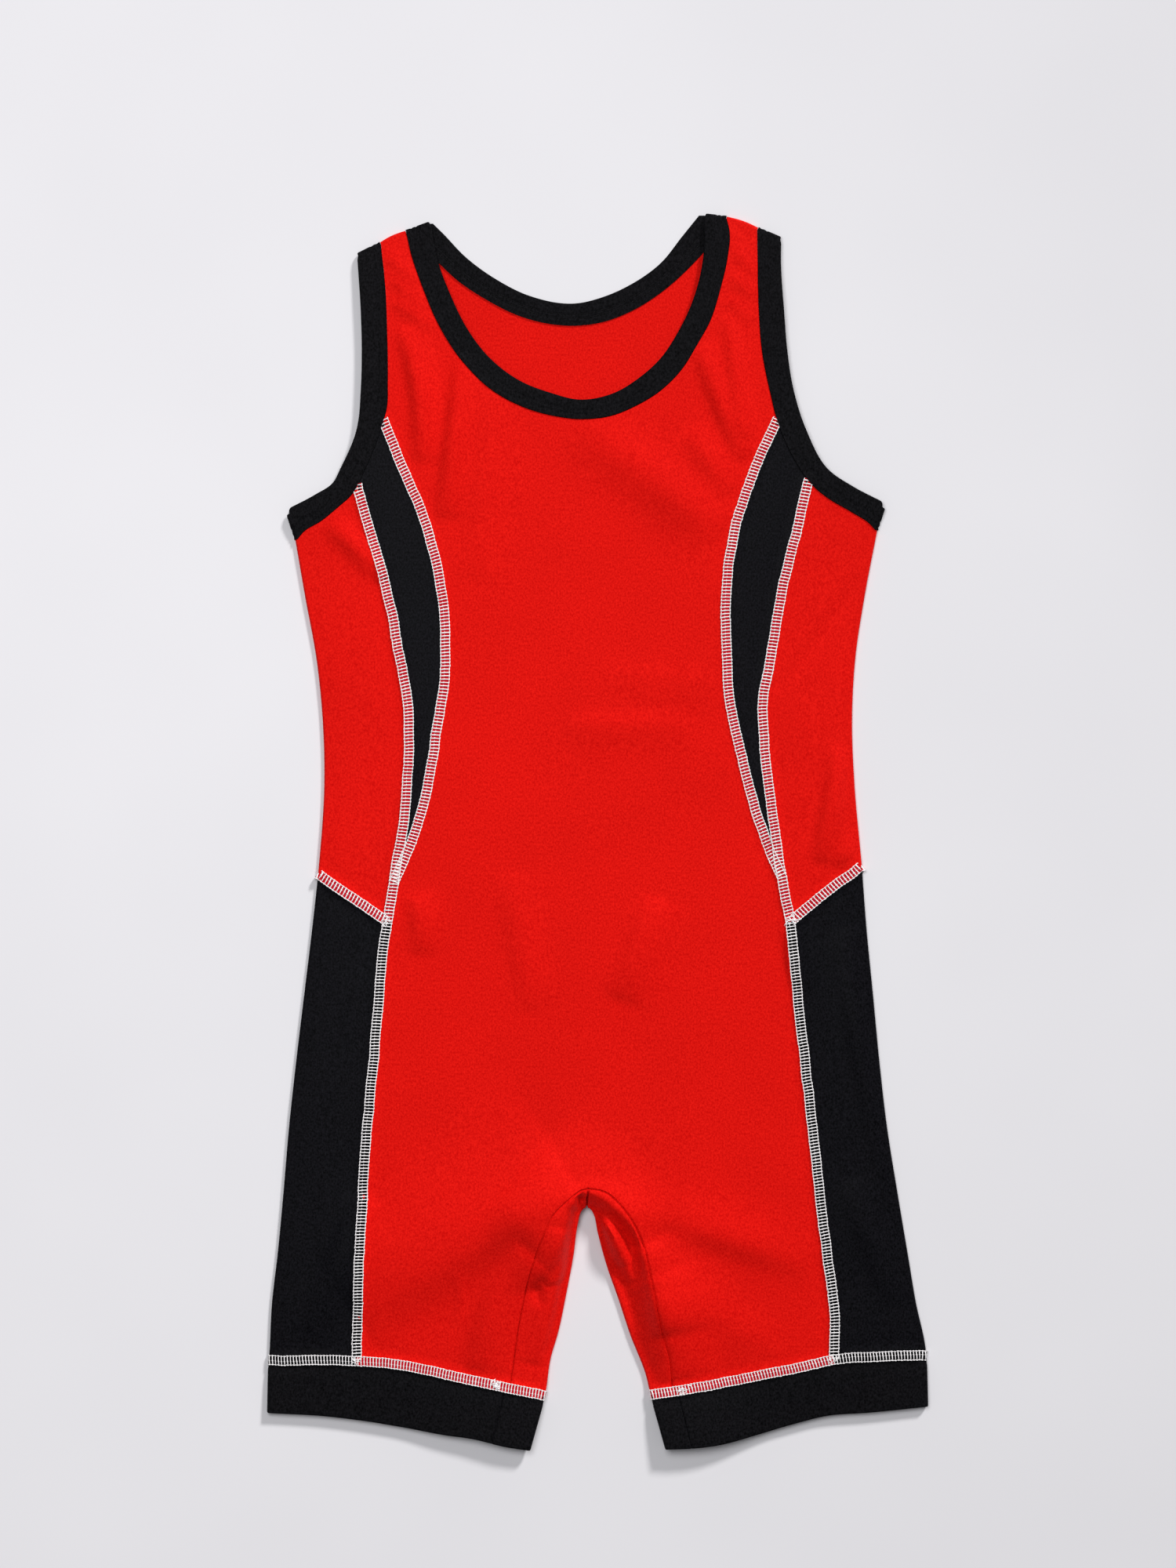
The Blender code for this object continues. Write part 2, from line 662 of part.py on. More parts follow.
def armhole_binding(side):
    """The black binding round one armhole, over the shoulder and under the arm."""
    runs = PATTERN[side]
    seam, opening = runs["armhole_seam"], runs["armhole_opening"]
    front = sections(seam, opening, BINDING_COLUMNS, front_height)
    back = sections(seam, opening, BINDING_COLUMNS, back_height)
    underarm = across(opening[-1] - seam[-1])
    underarm *= math.copysign(1.0, underarm[0] * seam[-1][0])
    looped_band(f"armhole_binding_{side}", front, back, underarm, shoulder_outward(side))


def hem_band(side):
    """The black hem band, a flattened ring round one leg opening."""
    runs = PATTERN[side]
    seam, edge = runs["hem_seam"], runs["hem_edge"]
    front = sections(seam, edge, HEM_COLUMNS, front_height)
    back = sections(seam, edge, HEM_COLUMNS, back_height)
    outer = across(edge[0] - seam[0])
    outer *= math.copysign(1.0, outer[0] * seam[0][0])
    inner = across(edge[-1] - seam[-1])
    inner *= -math.copysign(1.0, inner[0] * seam[0][0])
    looped_band(f"hem_band_{side}", front, back, inner, outer)


def main():
    """Builds every piece into the garment's collection."""
    for item in list(bpy.data.objects):
        bpy.data.objects.remove(item)
    collection = bpy.data.collections.new(COLLECTION)
    bpy.context.scene.collection.children.link(collection)
    front_panel()
    back_panel()
    neck_binding()
    for side in SIDES:
        insert(side)
        side_panel(side)
        thigh_panel(side)
        gusset(side)
        armhole_binding(side)
        hem_band(side)


main()
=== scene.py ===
"""The looks of the wrestling singlet: fine shells of cloth, threads, topstitching and finishes.

Metres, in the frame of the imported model. The lines of the pattern are those of the solids, and
every shell follows its solid's form: two layers that lie on each other and turn round the creases
of the sides, the inner legs and the shoulders.
"""

import math
from collections import namedtuple

import bmesh
import bpy
import numpy as np
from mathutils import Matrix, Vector, noise
from mathutils.geometry import delaunay_2d_cdt
from mathutils.kdtree import KDTree


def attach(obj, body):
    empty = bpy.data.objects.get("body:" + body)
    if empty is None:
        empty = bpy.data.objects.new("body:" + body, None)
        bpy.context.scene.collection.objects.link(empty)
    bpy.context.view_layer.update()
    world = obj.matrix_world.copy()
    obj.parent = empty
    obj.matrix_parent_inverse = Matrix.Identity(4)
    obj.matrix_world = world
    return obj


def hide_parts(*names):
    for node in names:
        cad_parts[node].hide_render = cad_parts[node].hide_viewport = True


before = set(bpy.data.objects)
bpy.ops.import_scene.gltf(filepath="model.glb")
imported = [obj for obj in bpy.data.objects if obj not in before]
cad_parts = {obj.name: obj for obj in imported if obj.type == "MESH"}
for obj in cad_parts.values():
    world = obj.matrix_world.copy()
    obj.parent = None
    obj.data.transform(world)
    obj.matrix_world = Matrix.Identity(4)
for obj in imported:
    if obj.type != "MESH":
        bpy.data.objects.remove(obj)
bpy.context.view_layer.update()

MM = 0.001

# Driving sizes of the cloth, in metres
PANEL_WALL = 1.0 * MM
BAND_WALL = 1.6 * MM
SEAM_GAP = 0.3 * MM
LAYER_STEP = 2.0 * MM      # between the middles of the two layers' walls at a crease
CREASE_REACH = 1.0 * MM    # how far the middle of the wall bulges past a crease line
LOFT = 1.2 * MM            # how much further the front stands off the back, away from creases
LOFT_REACH = 25.0 * MM
ROLL = 0.8 * MM            # the quicker rise of the front beside a crease
ROLL_REACH = 6.0 * MM
FOLD_REACH = 4.0 * MM      # folds fade out this close to a crease
LAYER_CLEARANCE = 0.2 * MM  # the least room between the walls of the two layers
GARMENT_MIDDLE = (5.3 * MM, 362.4 * MM)

# Mesh sizes, in metres, and shares of them
CURVE_STEP = 1.0 * MM
SEAM_STEP = 2.5 * MM
SPACING = 3.2 * MM
FINE_SPACING = 1.6 * MM    # in the gussets, whose folds are small
RIM = 0.9 * MM             # from a piece's edge to the ring of points just inside it
RIM_KEPT = 0.8             # of RIM: the least distance of that ring's points from the edge
GRID_KEPT = 0.5            # of the spacing: how far the grid stays inside the ring
MERGE_DISTANCE = 1e-7
SHARPEST_CORNER = 0.3      # limits how far a corner moves when an outline is moved in
TREE_STEP = 1.5 * MM
BORDER_STEP = 0.5 * MM
PLAIN_STEP = 0.3 * MM
CREASE_SEGMENTS = 8
HALF_TURN_SEGMENTS = 4
HEM_COLUMNS = 18
BINDING_COLUMNS = 16

# The lines of the pattern as it lies. Each is a short table of the places that its shape needs,
# from the top down or from the side in: x from the centre front (minus is the viewer's left)
# and y above the lowest hem, in mm. A smooth curve runs through them.
Line = namedtuple("Line", "x y")

FRONT_NECK_OPENING = Line(
    x=(-92, -88.5, -80.3, -70, -58, -39.5, -22, -5, 14.5, 30, 43, 52, 60.5, 65.3, 68, 68),
    y=(718.3, 698.5, 676, 655.5, 640, 626, 619.2, 615.2, 618.8, 628, 640, 653.5, 671, 686.5,
       704.5, 722.8),
)
FRONT_NECK_SEAM = Line(
    x=(-106.5, -103.5, -96.5, -88, -71.5, -55.5, -36, -19, -3, 13, 28, 42, 53, 65.5, 71, 77.5,
       82, 83, 82.6, 81),
    y=(713.2, 700, 680, 660, 635, 620, 610, 605.4, 603.6, 605.4, 611.5, 620, 630.5, 650, 660, 680,
       700, 709, 715.5, 721.5),
)
BACK_NECK_OPENING = Line(
    x=(-91, -84.5, -72.5, -54.5, -34.5, -7, 9.5, 24, 43, 55, 65),
    y=(718.8, 712.4, 699.8, 686.5, 676.5, 672, 676, 682.5, 696, 711, 723.4),
)
BACK_NECK_SEAM = Line(
    x=(-106.5, -88.5, -75.5, -58, -39.5, -24, -8, 9, 26, 44, 60, 68.5, 81),
    y=(713.2, 698, 686, 674.5, 665.5, 661.3, 660, 662.3, 669, 680.7, 695.2, 704.5, 721.5),
)

LEFT = {
    "armhole_opening": Line(
        x=(-135.2, -133, -132.5, -133, -135.7, -145.4, -149, -160, -175.9),
        y=(699.3, 665, 640, 622, 597, 574, 567, 559.5, 551.2),
    ),
    "armhole_seam": Line(
        x=(-121.4, -118.7, -117.7, -117.3, -117.7, -120.6, -132.5, -137, -146, -156.5, -166.5,
           -170.3),
        y=(706.4, 680, 655, 625, 611, 600, 570, 561, 552.5, 544, 538, 533.5),
    ),
    "outer_princess": Line(
        x=(-135.2, -128, -120.9, -114.9, -110.1, -105.6, -104.8, -107.2, -112.7, -117.3),
        y=(565, 539, 515, 491.5, 464, 436, 409.5, 374.5, 339, 309.5),
    ),
    "inner_princess": Line(
        x=(-119.8, -108, -97.2, -89.9, -85.1, -83.7, -84.6, -88.3, -93.4, -102.1, -108.5, -113.8),
        y=(603, 574, 548.3, 523.5, 496.8, 464, 445.3, 424, 392, 359.7, 344, 332),
    ),
    "side_crease": Line(
        x=(-170.3, -164.6, -157.9, -154.2, -153.3, -156.3, -160.2, -164.6, -169.6, -174,
           -177.2, -180.7, -183.9, -185.7, -187, -186.3),
        y=(533.5, 500.5, 463.7, 427, 390, 344, 307, 270.5, 229, 188.6, 151, 114, 86.5, 53.4, 40,
           21.7),
    ),
    "hip_seam": Line(x=(-157, -138.7, -117.3), y=(336.5, 324, 309.5)),
    "leg_seam": Line(
        x=(-117.3, -119.7, -123.4, -129.8, -133.1, -134.9, -135.4),
        y=(309.5, 295, 252, 183, 124.7, 77.3, 53.4),
    ),
    "hem_seam": Line(
        x=(-185.7, -139.4, -113.2, -93.8, -67.2, -44.6, -26.3),
        y=(52.5, 52.7, 50.6, 46.9, 41, 36.4, 32.3),
    ),
    "hem_edge": Line(
        x=(-186.3, -153.2, -130.2, -107.6, -84.6, -67.2, -47.8, -35.5),
        y=(21.7, 19.8, 17, 13.3, 9.2, 6.9, 2.3, 0.4),
    ),
    "gusset_seam": Line(
        x=(0.3, -4.5, -11, -19.8, -26.7, -32.2, -36.3, -40.9, -43.2, -45.8),
        y=(153.9, 152.6, 147.7, 139.4, 125, 109, 94.3, 70.8, 54.3, 37.5),
    ),
    "inner_crease": Line(
        x=(-0.7, -3.8, -5.6, -7.2, -9.8, -13.9, -19, -23.1, -26.3, -29.2, -35.5),
        y=(143.2, 142.4, 139.5, 133, 114, 92, 68, 54, 33.2, 22, 0.4),
    ),
}
RIGHT = {
    "armhole_opening": Line(
        x=(113.2, 113, 115, 116.5, 120.5, 128, 141, 155, 173.4),
        y=(708.8, 698, 665, 646, 620.5, 597, 574, 564.5, 555.0),
    ),
    "armhole_seam": Line(
        x=(99.3, 100, 102, 107.5, 110, 124.5, 129, 139, 155, 165, 168.3),
        y=(715, 669, 643, 616, 605.5, 574, 567.5, 558.5, 549, 542.6, 539),
    ),
    "outer_princess": Line(
        x=(128.8, 122.8, 115, 109.7, 106.7, 102.6, 103.5, 107.6, 113.2, 118.4),
        y=(567.5, 541, 510.6, 481.6, 464, 441.6, 406.6, 374.4, 336.3, 309.5),
    ),
    "inner_princess": Line(
        x=(110.5, 97.5, 88.8, 82.8, 80.5, 81.4, 82.3, 89.7, 100.3, 107.5, 113.2),
        y=(603, 574, 549, 522.5, 495, 464, 445, 406.5, 368.5, 348, 336.3),
    ),
    "side_crease": Line(
        x=(168.3, 160.9, 155.4, 153.5, 154.9, 159, 161.8, 165.9, 169.8, 174, 180, 186.2, 190.8,
           196.8, 196.9, 197.6),
        y=(539, 500.5, 463.7, 427, 390, 344, 307, 265, 224.5, 188.6, 151, 114, 86.5, 56.6, 40,
           25.3),
    ),
    "hip_seam": Line(x=(159.3, 140.3, 118.4), y=(341, 327.5, 309.5)),
    "leg_seam": Line(
        x=(118.4, 122.7, 130, 137.9, 142.8, 144.3, 143.8),
        y=(309.5, 265, 201, 129.7, 92, 77.3, 54.3),
    ),
    "hem_seam": Line(
        x=(196.8, 171.6, 144.4, 121.4, 98.9, 76.8, 60.3, 37.8),
        y=(55.7, 55, 53.4, 48.3, 43.7, 39.6, 36.4, 32.7),
    ),
    "hem_edge": Line(
        x=(197.6, 166.1, 138, 121.4, 98.9, 76.8, 60.3, 47),
        y=(25.3, 22.1, 19.8, 15.6, 9.2, 3.7, 1.8, 1.2),
    ),
    "gusset_seam": Line(
        x=(0.3, 10.1, 18.4, 26.7, 33.1, 37.3, 41.4, 44.2, 47.8, 49.7),
        y=(153.9, 151.8, 145, 134, 119, 101.2, 81.4, 68, 55.2, 35.5),
    ),
    "inner_crease": Line(
        x=(-0.7, 2.2, 4.2, 6.9, 12.1, 19, 25.9, 35.5, 37.8, 39.4, 47),
        y=(143.2, 142.6, 139.5, 128, 108.6, 88.8, 68, 43, 33.6, 29, 1.2),
    ),
}
SIDES = {"left": LEFT, "right": RIGHT}

# The folds of the front: a soft ridge, or a trough where rise is negative, on a curve through
# three places, with its half width on the left and on the right of that travel, in mm.
Fold = namedtuple("Fold", "from_x from_y by_x by_y to_x to_y left right rise")
FOLDS = (
    # straps and chest
    Fold(-120, 702, -110, 693, -99, 682, 5, 3.5, 1.5),
    Fold(-117, 689, -107, 679, -96, 668, 5, 3.5, 1.4),
    Fold(-115, 675, -104, 666, -91, 657, 5, 3.5, 1.5),
    Fold(84, 705, 92, 696, 99, 687, 5, 3.5, 1.2),
    Fold(84, 689, 90, 682, 98, 674, 5, 3.5, 1.4),
    Fold(83, 675, 88, 668, 97, 661, 5, 3.5, 1.2),
    Fold(-109, 657, -100, 620, -99, 579, 9, 4, 4.1),
    Fold(-74, 643, -79, 597, -85, 546, 12, 4.5, 4.8),
    Fold(-55, 629, -59, 579, -69, 510, 14, 8, 2.4),
    Fold(65, 647, 77, 613, 91, 580, 10, 4.5, 3.7),
    Fold(82, 665, 86, 630, 92, 592, 7, 4, 3.4),
    Fold(-5, 602, 41, 566, 81, 538, 15, 15, 4.0),
    Fold(58, 597, 71, 579, 83, 560, 10, 7, 2.5),
    Fold(5, 454, 41, 451, 78, 447, 8, 14, 0.9),
    Fold(-14, 425, 23, 425, 64, 426, 6, 12, 1.4),
    # side panels and hips
    Fold(-153, 544, -137, 530, -120, 510, 6, 6, 2.9),
    Fold(161, 514, 138, 480, 110, 443, 4, 4, -1.0),
    Fold(147, 413, 141, 376, 135, 344, 9, 4, 4.1),
    Fold(163, 369, 156, 356, 148, 342, 7, 4, 2.7),
    Fold(40, 323, 29, 293, 18, 264, 14, 8, 3.7),
    Fold(-44, 338, -40, 300, -33, 258, 12, 8, 2.0),
    Fold(-101, 326, -99, 310, -99, 291, 9, 5, 2.5),
    Fold(114, 314, 120, 291, 127, 268, 6, 5, 2.0),
    # thighs
    Fold(-50, 152, -30, 128, -18, 98, 45, 20, 7.8),
    Fold(-10, 160, -62, 127, -136, 80, 19, 36, 7.6),
    Fold(-36, 118, -54, 90, -66, 46, 15, 8, 5.6),
    Fold(-76, 105, -75, 89, -77, 71, 2.4, 1.5, 1.1),
    Fold(23, 146, 74, 127, 131, 108, 16, 9, 3.0),
    Fold(62, 96, 84, 74, 112, 60, 12, 12, 1.5),
    Fold(147, 305, 162, 227, 182, 142, 14, 7, 3.6),
    Fold(153, 158, 165, 121, 178, 86, 9, 6, 3.0),
    Fold(-132, 149, -145, 115, -167, 68, 12, 7, 3.2),
    # right gusset: a roll beside its seam, a deep valley, a bulge and a hollow at its edge
    Fold(0, 147, 18, 126, 31, 92, 12, 9, 3.2),
    Fold(-6, 149.6, 3, 151.6, 14, 146.5, 6, 2.6, 2.6),
    Fold(7, 149.5, 26.5, 131.5, 37, 97, 14, 3.4, 5.0),
    Fold(31, 120, 39, 96, 45, 68, 22, 7, 6.0),
    Fold(38, 102, 46, 74, 53, 40, 24, 12, 6.5),
    Fold(3, 142, 20.5, 128, 30, 102, 3.4, 3.4, -4.4),
    Fold(7, 141.5, 17, 121, 26, 98, 3.6, 5, 2.4),
    Fold(11, 116, 18, 98, 29, 70, 5, 4, -2.2),
    # left gusset: a lip round a small hole, a valley that curls at its end, a roll at its edge
    Fold(-6, 147, -14, 128, -28, 94, 9, 9, 1.8),
    Fold(-3, 152.8, -8.4, 149, -7.4, 141.5, 1.8, 3.6, 2.6),
    Fold(-2.6, 150.6, -4.3, 147.4, -4.6, 142.4, 2.0, 2.0, -6.0),
    Fold(-7, 135, -15, 114, -26, 96, 3.4, 4.6, -2.6),
    Fold(-24, 101, -30, 94, -25.5, 84, 3.2, 3.6, -1.6),
    Fold(-12, 130, -19, 98, -30, 50, 6, 13, 5.0),
)

# Where both layers stand up off the surface below, at the inner ends of the hems, in mm
Lift = namedtuple("Lift", "x y reach rise")
LIFTS = (
    Lift(-48, 0, 65, 3.5),
    Lift(60, 0, 55, 5.6),
    Lift(-1, 146, 48, 4.0),
)


def smooth(line):
    """A fine polyline, in metres, on the smooth curve through a line's places."""
    places = np.column_stack((line.x, line.y)) * MM
    chord = np.linalg.norm(np.diff(places, axis=0), axis=1)
    along = np.concatenate(([0.0], np.cumsum(chord)))
    slope = np.diff(places, axis=0) / chord[:, None]
    before, after = chord[:-1, None], chord[1:, None]
    inner = (slope[:-1] * after + slope[1:] * before) / (before + after)
    tangent = np.vstack((slope[:1], inner, slope[-1:]))
    where = np.linspace(0.0, along[-1], max(2, round(along[-1] / CURVE_STEP)) + 1)
    cell = np.clip(np.searchsorted(along, where, side="right") - 1, 0, len(chord) - 1)
    size = chord[cell][:, None]
    t = (where - along[cell])[:, None] / size
    return (
        places[cell] * (1 + 2 * t) * (1 - t) ** 2
        + tangent[cell] * size * t * (1 - t) ** 2
        + places[cell + 1] * t**2 * (3 - 2 * t)
        + tangent[cell + 1] * size * t**2 * (t - 1)
    )


def travelled(curve):
    """The distance along a polyline to each of its points."""
    steps = np.linalg.norm(np.diff(curve, axis=0), axis=1)
    return np.concatenate(([0.0], np.cumsum(steps)))


def points_at(curve, shares):
    """The points of a curve at the given shares of its length."""
    along = travelled(curve)
    where = np.asarray(shares) * along[-1]
    return np.column_stack([np.interp(where, along, curve[:, k]) for k in range(curve.shape[1])])


def spaced(curve, step):
    """A curve resampled to equal steps of about the given length, with both of its ends."""
    count = max(1, round(travelled(curve)[-1] / step))
    return points_at(curve, np.linspace(0.0, 1.0, count + 1))


def nearest_to(curve, place):
    """The number of a curve's point that is nearest to a place."""
    return int(np.argmin(np.linalg.norm(curve - place, axis=1)))


def split(curve, *places):
    """The runs of a curve between its ends and the points of it nearest to the given places."""
    cuts = [0, *(nearest_to(curve, place) for place in places), len(curve) - 1]
    return [curve[a : b + 1] for a, b in zip(cuts, cuts[1:])]


def chain(*runs):
    """One polyline from runs that meet end to end."""
    return np.vstack([runs[0], *[run[1:] for run in runs[1:]]])


def ends_on(curve, start=None, end=None):
    """A curve whose ends are moved onto the given points."""
    curve = curve.copy()
    if start is not None:
        curve[0] = start
    if end is not None:
        curve[-1] = end
    return curve


def unit(vectors):
    """Vectors made one long, row by row."""
    return vectors / np.linalg.norm(vectors, axis=-1, keepdims=True)


def pattern(side):
    """Every run of one side's lines, resampled so that neighbours share their points."""
    lines = {name: smooth(line) for name, line in SIDES[side].items()}
    inner, outer = lines["inner_princess"], lines["outer_princess"]
    strap, armhole, underarm = split(lines["armhole_seam"], inner[0], outer[0])
    upper, lower = split(outer, inner[-1])
    body, leg, hem = split(lines["side_crease"], lines["hip_seam"][0], lines["hem_seam"][0])
    gusset, centre_end = lines["gusset_seam"], lines["inner_crease"][0]
    inner_leg, hem_inner = split(lines["inner_crease"], lines["hem_seam"][-1])
    thigh_hem, front_hem, gusset_hem = split(lines["hem_seam"], lines["leg_seam"][-1], gusset[-1])
    runs = {
        "strap": strap,
        "insert_top": armhole,
        "underarm": underarm,
        "inner_princess": ends_on(inner, strap[-1], upper[-1]),
        "outer_upper": ends_on(upper, start=armhole[-1]),
        "outer_lower": lower,
        "body_crease": ends_on(body, start=underarm[-1]),
        "leg_crease": leg,
        "hip_seam": ends_on(lines["hip_seam"], body[-1], lower[-1]),
        "leg_seam": ends_on(lines["leg_seam"], lower[-1], thigh_hem[-1]),
        "thigh_hem": ends_on(thigh_hem, start=leg[-1]),
        "front_hem": front_hem,
        "gusset_hem": ends_on(gusset_hem, end=inner_leg[-1]),
        "gusset_seam": ends_on(gusset, end=front_hem[-1]),
        "inner_crease": inner_leg,
        "crotch_seam": np.vstack((gusset[0], centre_end)),
    }
    runs = {name: spaced(run, SEAM_STEP) for name, run in runs.items()}
    runs["armhole_seam"] = chain(runs["strap"], runs["insert_top"], runs["underarm"])
    runs["hem_seam"] = chain(runs["thigh_hem"], runs["front_hem"], runs["gusset_hem"])
    runs["armhole_opening"] = lines["armhole_opening"]
    runs["hem_edge"] = ends_on(lines["hem_edge"], hem[-1], hem_inner[-1])
    return runs


PATTERN = {side: pattern(side) for side in SIDES}
FRONT_NECK = spaced(smooth(FRONT_NECK_SEAM), SEAM_STEP)
BACK_NECK = spaced(smooth(BACK_NECK_SEAM), SEAM_STEP)


def across(direction):
    """The unit vector to the right of a direction in the plan."""
    x, y = direction
    return np.array((y, -x)) / math.hypot(x, y)


def shoulder_outward(side):
    """The direction out of the garment at a shoulder."""
    armhole_end = PATTERN[side]["armhole_seam"][0]
    neck_end = FRONT_NECK[0 if side == "left" else -1]
    direction = across(neck_end - armhole_end)
    return direction if direction[1] > 0 else -direction


def shoulder(side):
    """A strap's shoulder crease, from its neck end to its armhole end, a little bowed."""
    neck_end = FRONT_NECK[0 if side == "left" else -1]
    run = spaced(np.vstack((neck_end, PATTERN[side]["armhole_seam"][0])), SEAM_STEP)
    bow = np.sin(np.linspace(0.0, math.pi, len(run)))[:, None]
    return run + SHOULDER_BOW * bow * shoulder_outward(side)


def facing(direction, x):
    """The unit vector square to a direction in the plan, on the side towards plus or minus x."""
    square = across(direction)
    return square * math.copysign(1.0, square[0] * x)


def rights(plan):
    """The unit vectors to the right of a path in the plan, at each of its points."""
    ahead = unit(np.gradient(plan, axis=0))
    return np.column_stack((ahead[:, 1], -ahead[:, 0]))


def tree_of(runs, step=TREE_STEP):
    """A search tree of the points of some runs, close together."""
    points = np.vstack([spaced(run, step) for run in runs])
    tree = KDTree(len(points))
    for index, (x, y) in enumerate(points):
        tree.insert((x, y, 0.0), index)
    tree.balance()
    return tree


def distance_to(tree, plan):
    """How far each point of the plan is from a tree's points."""
    return np.array([tree.find((x, y, 0.0))[2] for x, y in plan])


def side_runs(*names):
    """The named runs of both sides."""
    return [PATTERN[side][name] for side in SIDES for name in names]


SHOULDER_BOW = 0.8 * MM
CREASES = tree_of(
    side_runs("body_crease", "leg_crease", "inner_crease") + [shoulder(side) for side in SIDES]
)
FLATLOCKED = tree_of(side_runs("outer_upper", "outer_lower", "leg_seam", "hip_seam", "hem_seam"))
INNER_PRINCESS = tree_of(side_runs("inner_princess"))
PLAIN_SEAMS = tree_of(side_runs("gusset_seam", "crotch_seam"), PLAIN_STEP)

SEAM_RAISE = 0.6 * MM         # both layers stand this much higher under flatlock threads
SEAM_RAISE_REACH = 4.2 * MM
SEAM_RIDGE = 0.25 * MM        # the doubled cloth of a flatlock seam
SEAM_RIDGE_REACH = 3.4 * MM
SEAM_VALLEY = 0.22 * MM       # the cloth drawn down beside the threads
SEAM_VALLEY_OFFSET = 6.0 * MM
SEAM_VALLEY_REACH = 2.6 * MM
PLAIN_SEAM_DIP = 0.55 * MM
PLAIN_SEAM_REACH = 0.95 * MM
PLAIN_SEAM_GAP = 1.4 * MM     # wider than elsewhere, so that it stays open down in the dip
PUCKER = 0.16 * MM            # small unevenness beside the seams
PUCKER_SIZE = 7.0 * MM
PUCKER_REACH = 14.0 * MM
UNDULATION = 0.35 * MM        # broad unevenness of cloth that was smoothed by hand
UNDULATION_SIZE = 38.0 * MM
PUCKER_PLACE, UNDULATION_PLACE = 3.7, 8.1    # where in the noise each of them is read
FOLD_POINTS = 13
FOLD_END = 2.6                # a fold is left out beyond this many of its half widths
FOLD_SWELL = 0.6              # below 1, a fold reaches its full height nearer to its ends


def fade(distance, reach, power=2):
    """One where there is no distance, and close to nothing from about twice the reach."""
    return np.exp(-((distance / reach) ** power))


def raised(plan):
    """How far both layers stand off the surface below at points of the plan."""
    total = np.zeros(len(plan))
    for lift in LIFTS:
        share = np.hypot(plan[:, 0] / MM - lift.x, plan[:, 1] / MM - lift.y) / lift.reach
        total += lift.rise * (1 - np.minimum(share, 1.0) ** 2) ** 2
    return total * MM


def bent(fold):
    """Points along a fold's curve, in mm, which passes its middle place halfway."""
    start, by, end = np.array(fold[:6]).reshape(3, 2)
    control = 2 * by - (start + end) / 2
    t = np.linspace(0.0, 1.0, FOLD_POINTS)[:, None]
    return start * (1 - t) ** 2 + control * 2 * t * (1 - t) + end * t**2


def folded(plan):
    """The height that the front's folds add at points of the plan."""
    total = np.zeros(len(plan))
    places = plan / MM
    for fold in FOLDS:
        curve = bent(fold)
        reach = FOLD_END * max(fold.left, fold.right)
        low, high = curve.min(axis=0) - reach, curve.max(axis=0) + reach
        near = np.all((places > low) & (places < high), axis=1)
        if not near.any():
            continue
        here = places[near]
        step = np.diff(curve, axis=0)
        off = here[:, None, :] - curve[None, :-1, :]
        t = np.clip(np.sum(off * step, axis=2) / np.sum(step**2, axis=1), 0.0, 1.0)
        gap = off - t[:, :, None] * step
        distance = np.linalg.norm(gap, axis=2)
        best = np.argmin(distance, axis=1)
        rows = np.arange(len(here))
        share = (best + t[rows, best]) / len(step)
        turn = step[best, 0] * off[rows, best, 1] - step[best, 1] * off[rows, best, 0]
        width = np.where(turn > 0, fold.left, fold.right)
        swell = np.sin(np.pi * np.clip(share, 0.0, 1.0)) ** FOLD_SWELL
        total[near] += fold.rise * swell * fade(distance[rows, best], width)
    return total * MM


def noisy(plan, size, place):
    """Smooth unevenness between -1 and 1 over the plan, with features of about the given size."""
    return np.array([noise.noise(Vector((x / size, y / size, place))) for x, y in plan])


def seam_relief(distance):
    """The ridge under a flatlock seam's threads, and the valleys beside it."""
    ridge = SEAM_RIDGE * fade(distance, SEAM_RIDGE_REACH, 4)
    return ridge - SEAM_VALLEY * fade(distance - SEAM_VALLEY_OFFSET, SEAM_VALLEY_REACH)


def back_middle(plan, wall):
    """The height of the middle of the back layer's wall."""
    seam = distance_to(FLATLOCKED, plan)
    return wall / 2 + raised(plan) + SEAM_RAISE * fade(seam, SEAM_RAISE_REACH, 4)


def front_middle(plan, wall):
    """The height of the middle of the front layer's wall."""
    crease, seam, inner, plain = (
        distance_to(tree, plan) for tree in (CREASES, FLATLOCKED, INNER_PRINCESS, PLAIN_SEAMS)
    )
    loft = LOFT * (1 - fade(crease, LOFT_REACH))
    roll = ROLL * (1 - fade(crease, ROLL_REACH))
    away = 1 - fade(crease, FOLD_REACH)
    nearest = np.minimum(seam, inner)
    groove = PLAIN_SEAM_DIP * fade(plain, PLAIN_SEAM_REACH)
    pucker = PUCKER * fade(nearest, PUCKER_REACH) * noisy(plan, PUCKER_SIZE, PUCKER_PLACE)
    broad = UNDULATION * noisy(plan, UNDULATION_SIZE, UNDULATION_PLACE)
    apart = LAYER_STEP + loft + roll
    uneven = (folded(plan) + pucker + broad + seam_relief(nearest)) * away - groove
    return back_middle(plan, wall) + np.maximum(apart + uneven, wall + LAYER_CLEARANCE)


def signed_area(outline):
    """The area inside a closed outline, which is below zero where it runs clockwise."""
    x, y = outline[:, 0], outline[:, 1]
    return np.sum(x * np.roll(y, -1) - np.roll(x, -1) * y) / 2


def parted(outline):
    """How far each point of an outline is moved in from its seam."""
    plain = fade(distance_to(PLAIN_SEAMS, outline), PLAIN_SEAM_REACH)[:, None]
    return (SEAM_GAP + (PLAIN_SEAM_GAP - SEAM_GAP) * plain) / 2


def inset(outline, distance):
    """A counter-clockwise outline moved inwards by a distance on every side."""
    ahead = unit(np.roll(outline, -1, axis=0) - outline)
    inward = np.column_stack((-ahead[:, 1], ahead[:, 0]))
    before = np.roll(inward, 1, axis=0)
    cosine = np.sum(inward * before, axis=1)[:, None]
    return outline + distance * (inward + before) / np.maximum(1 + cosine, SHARPEST_CORNER)


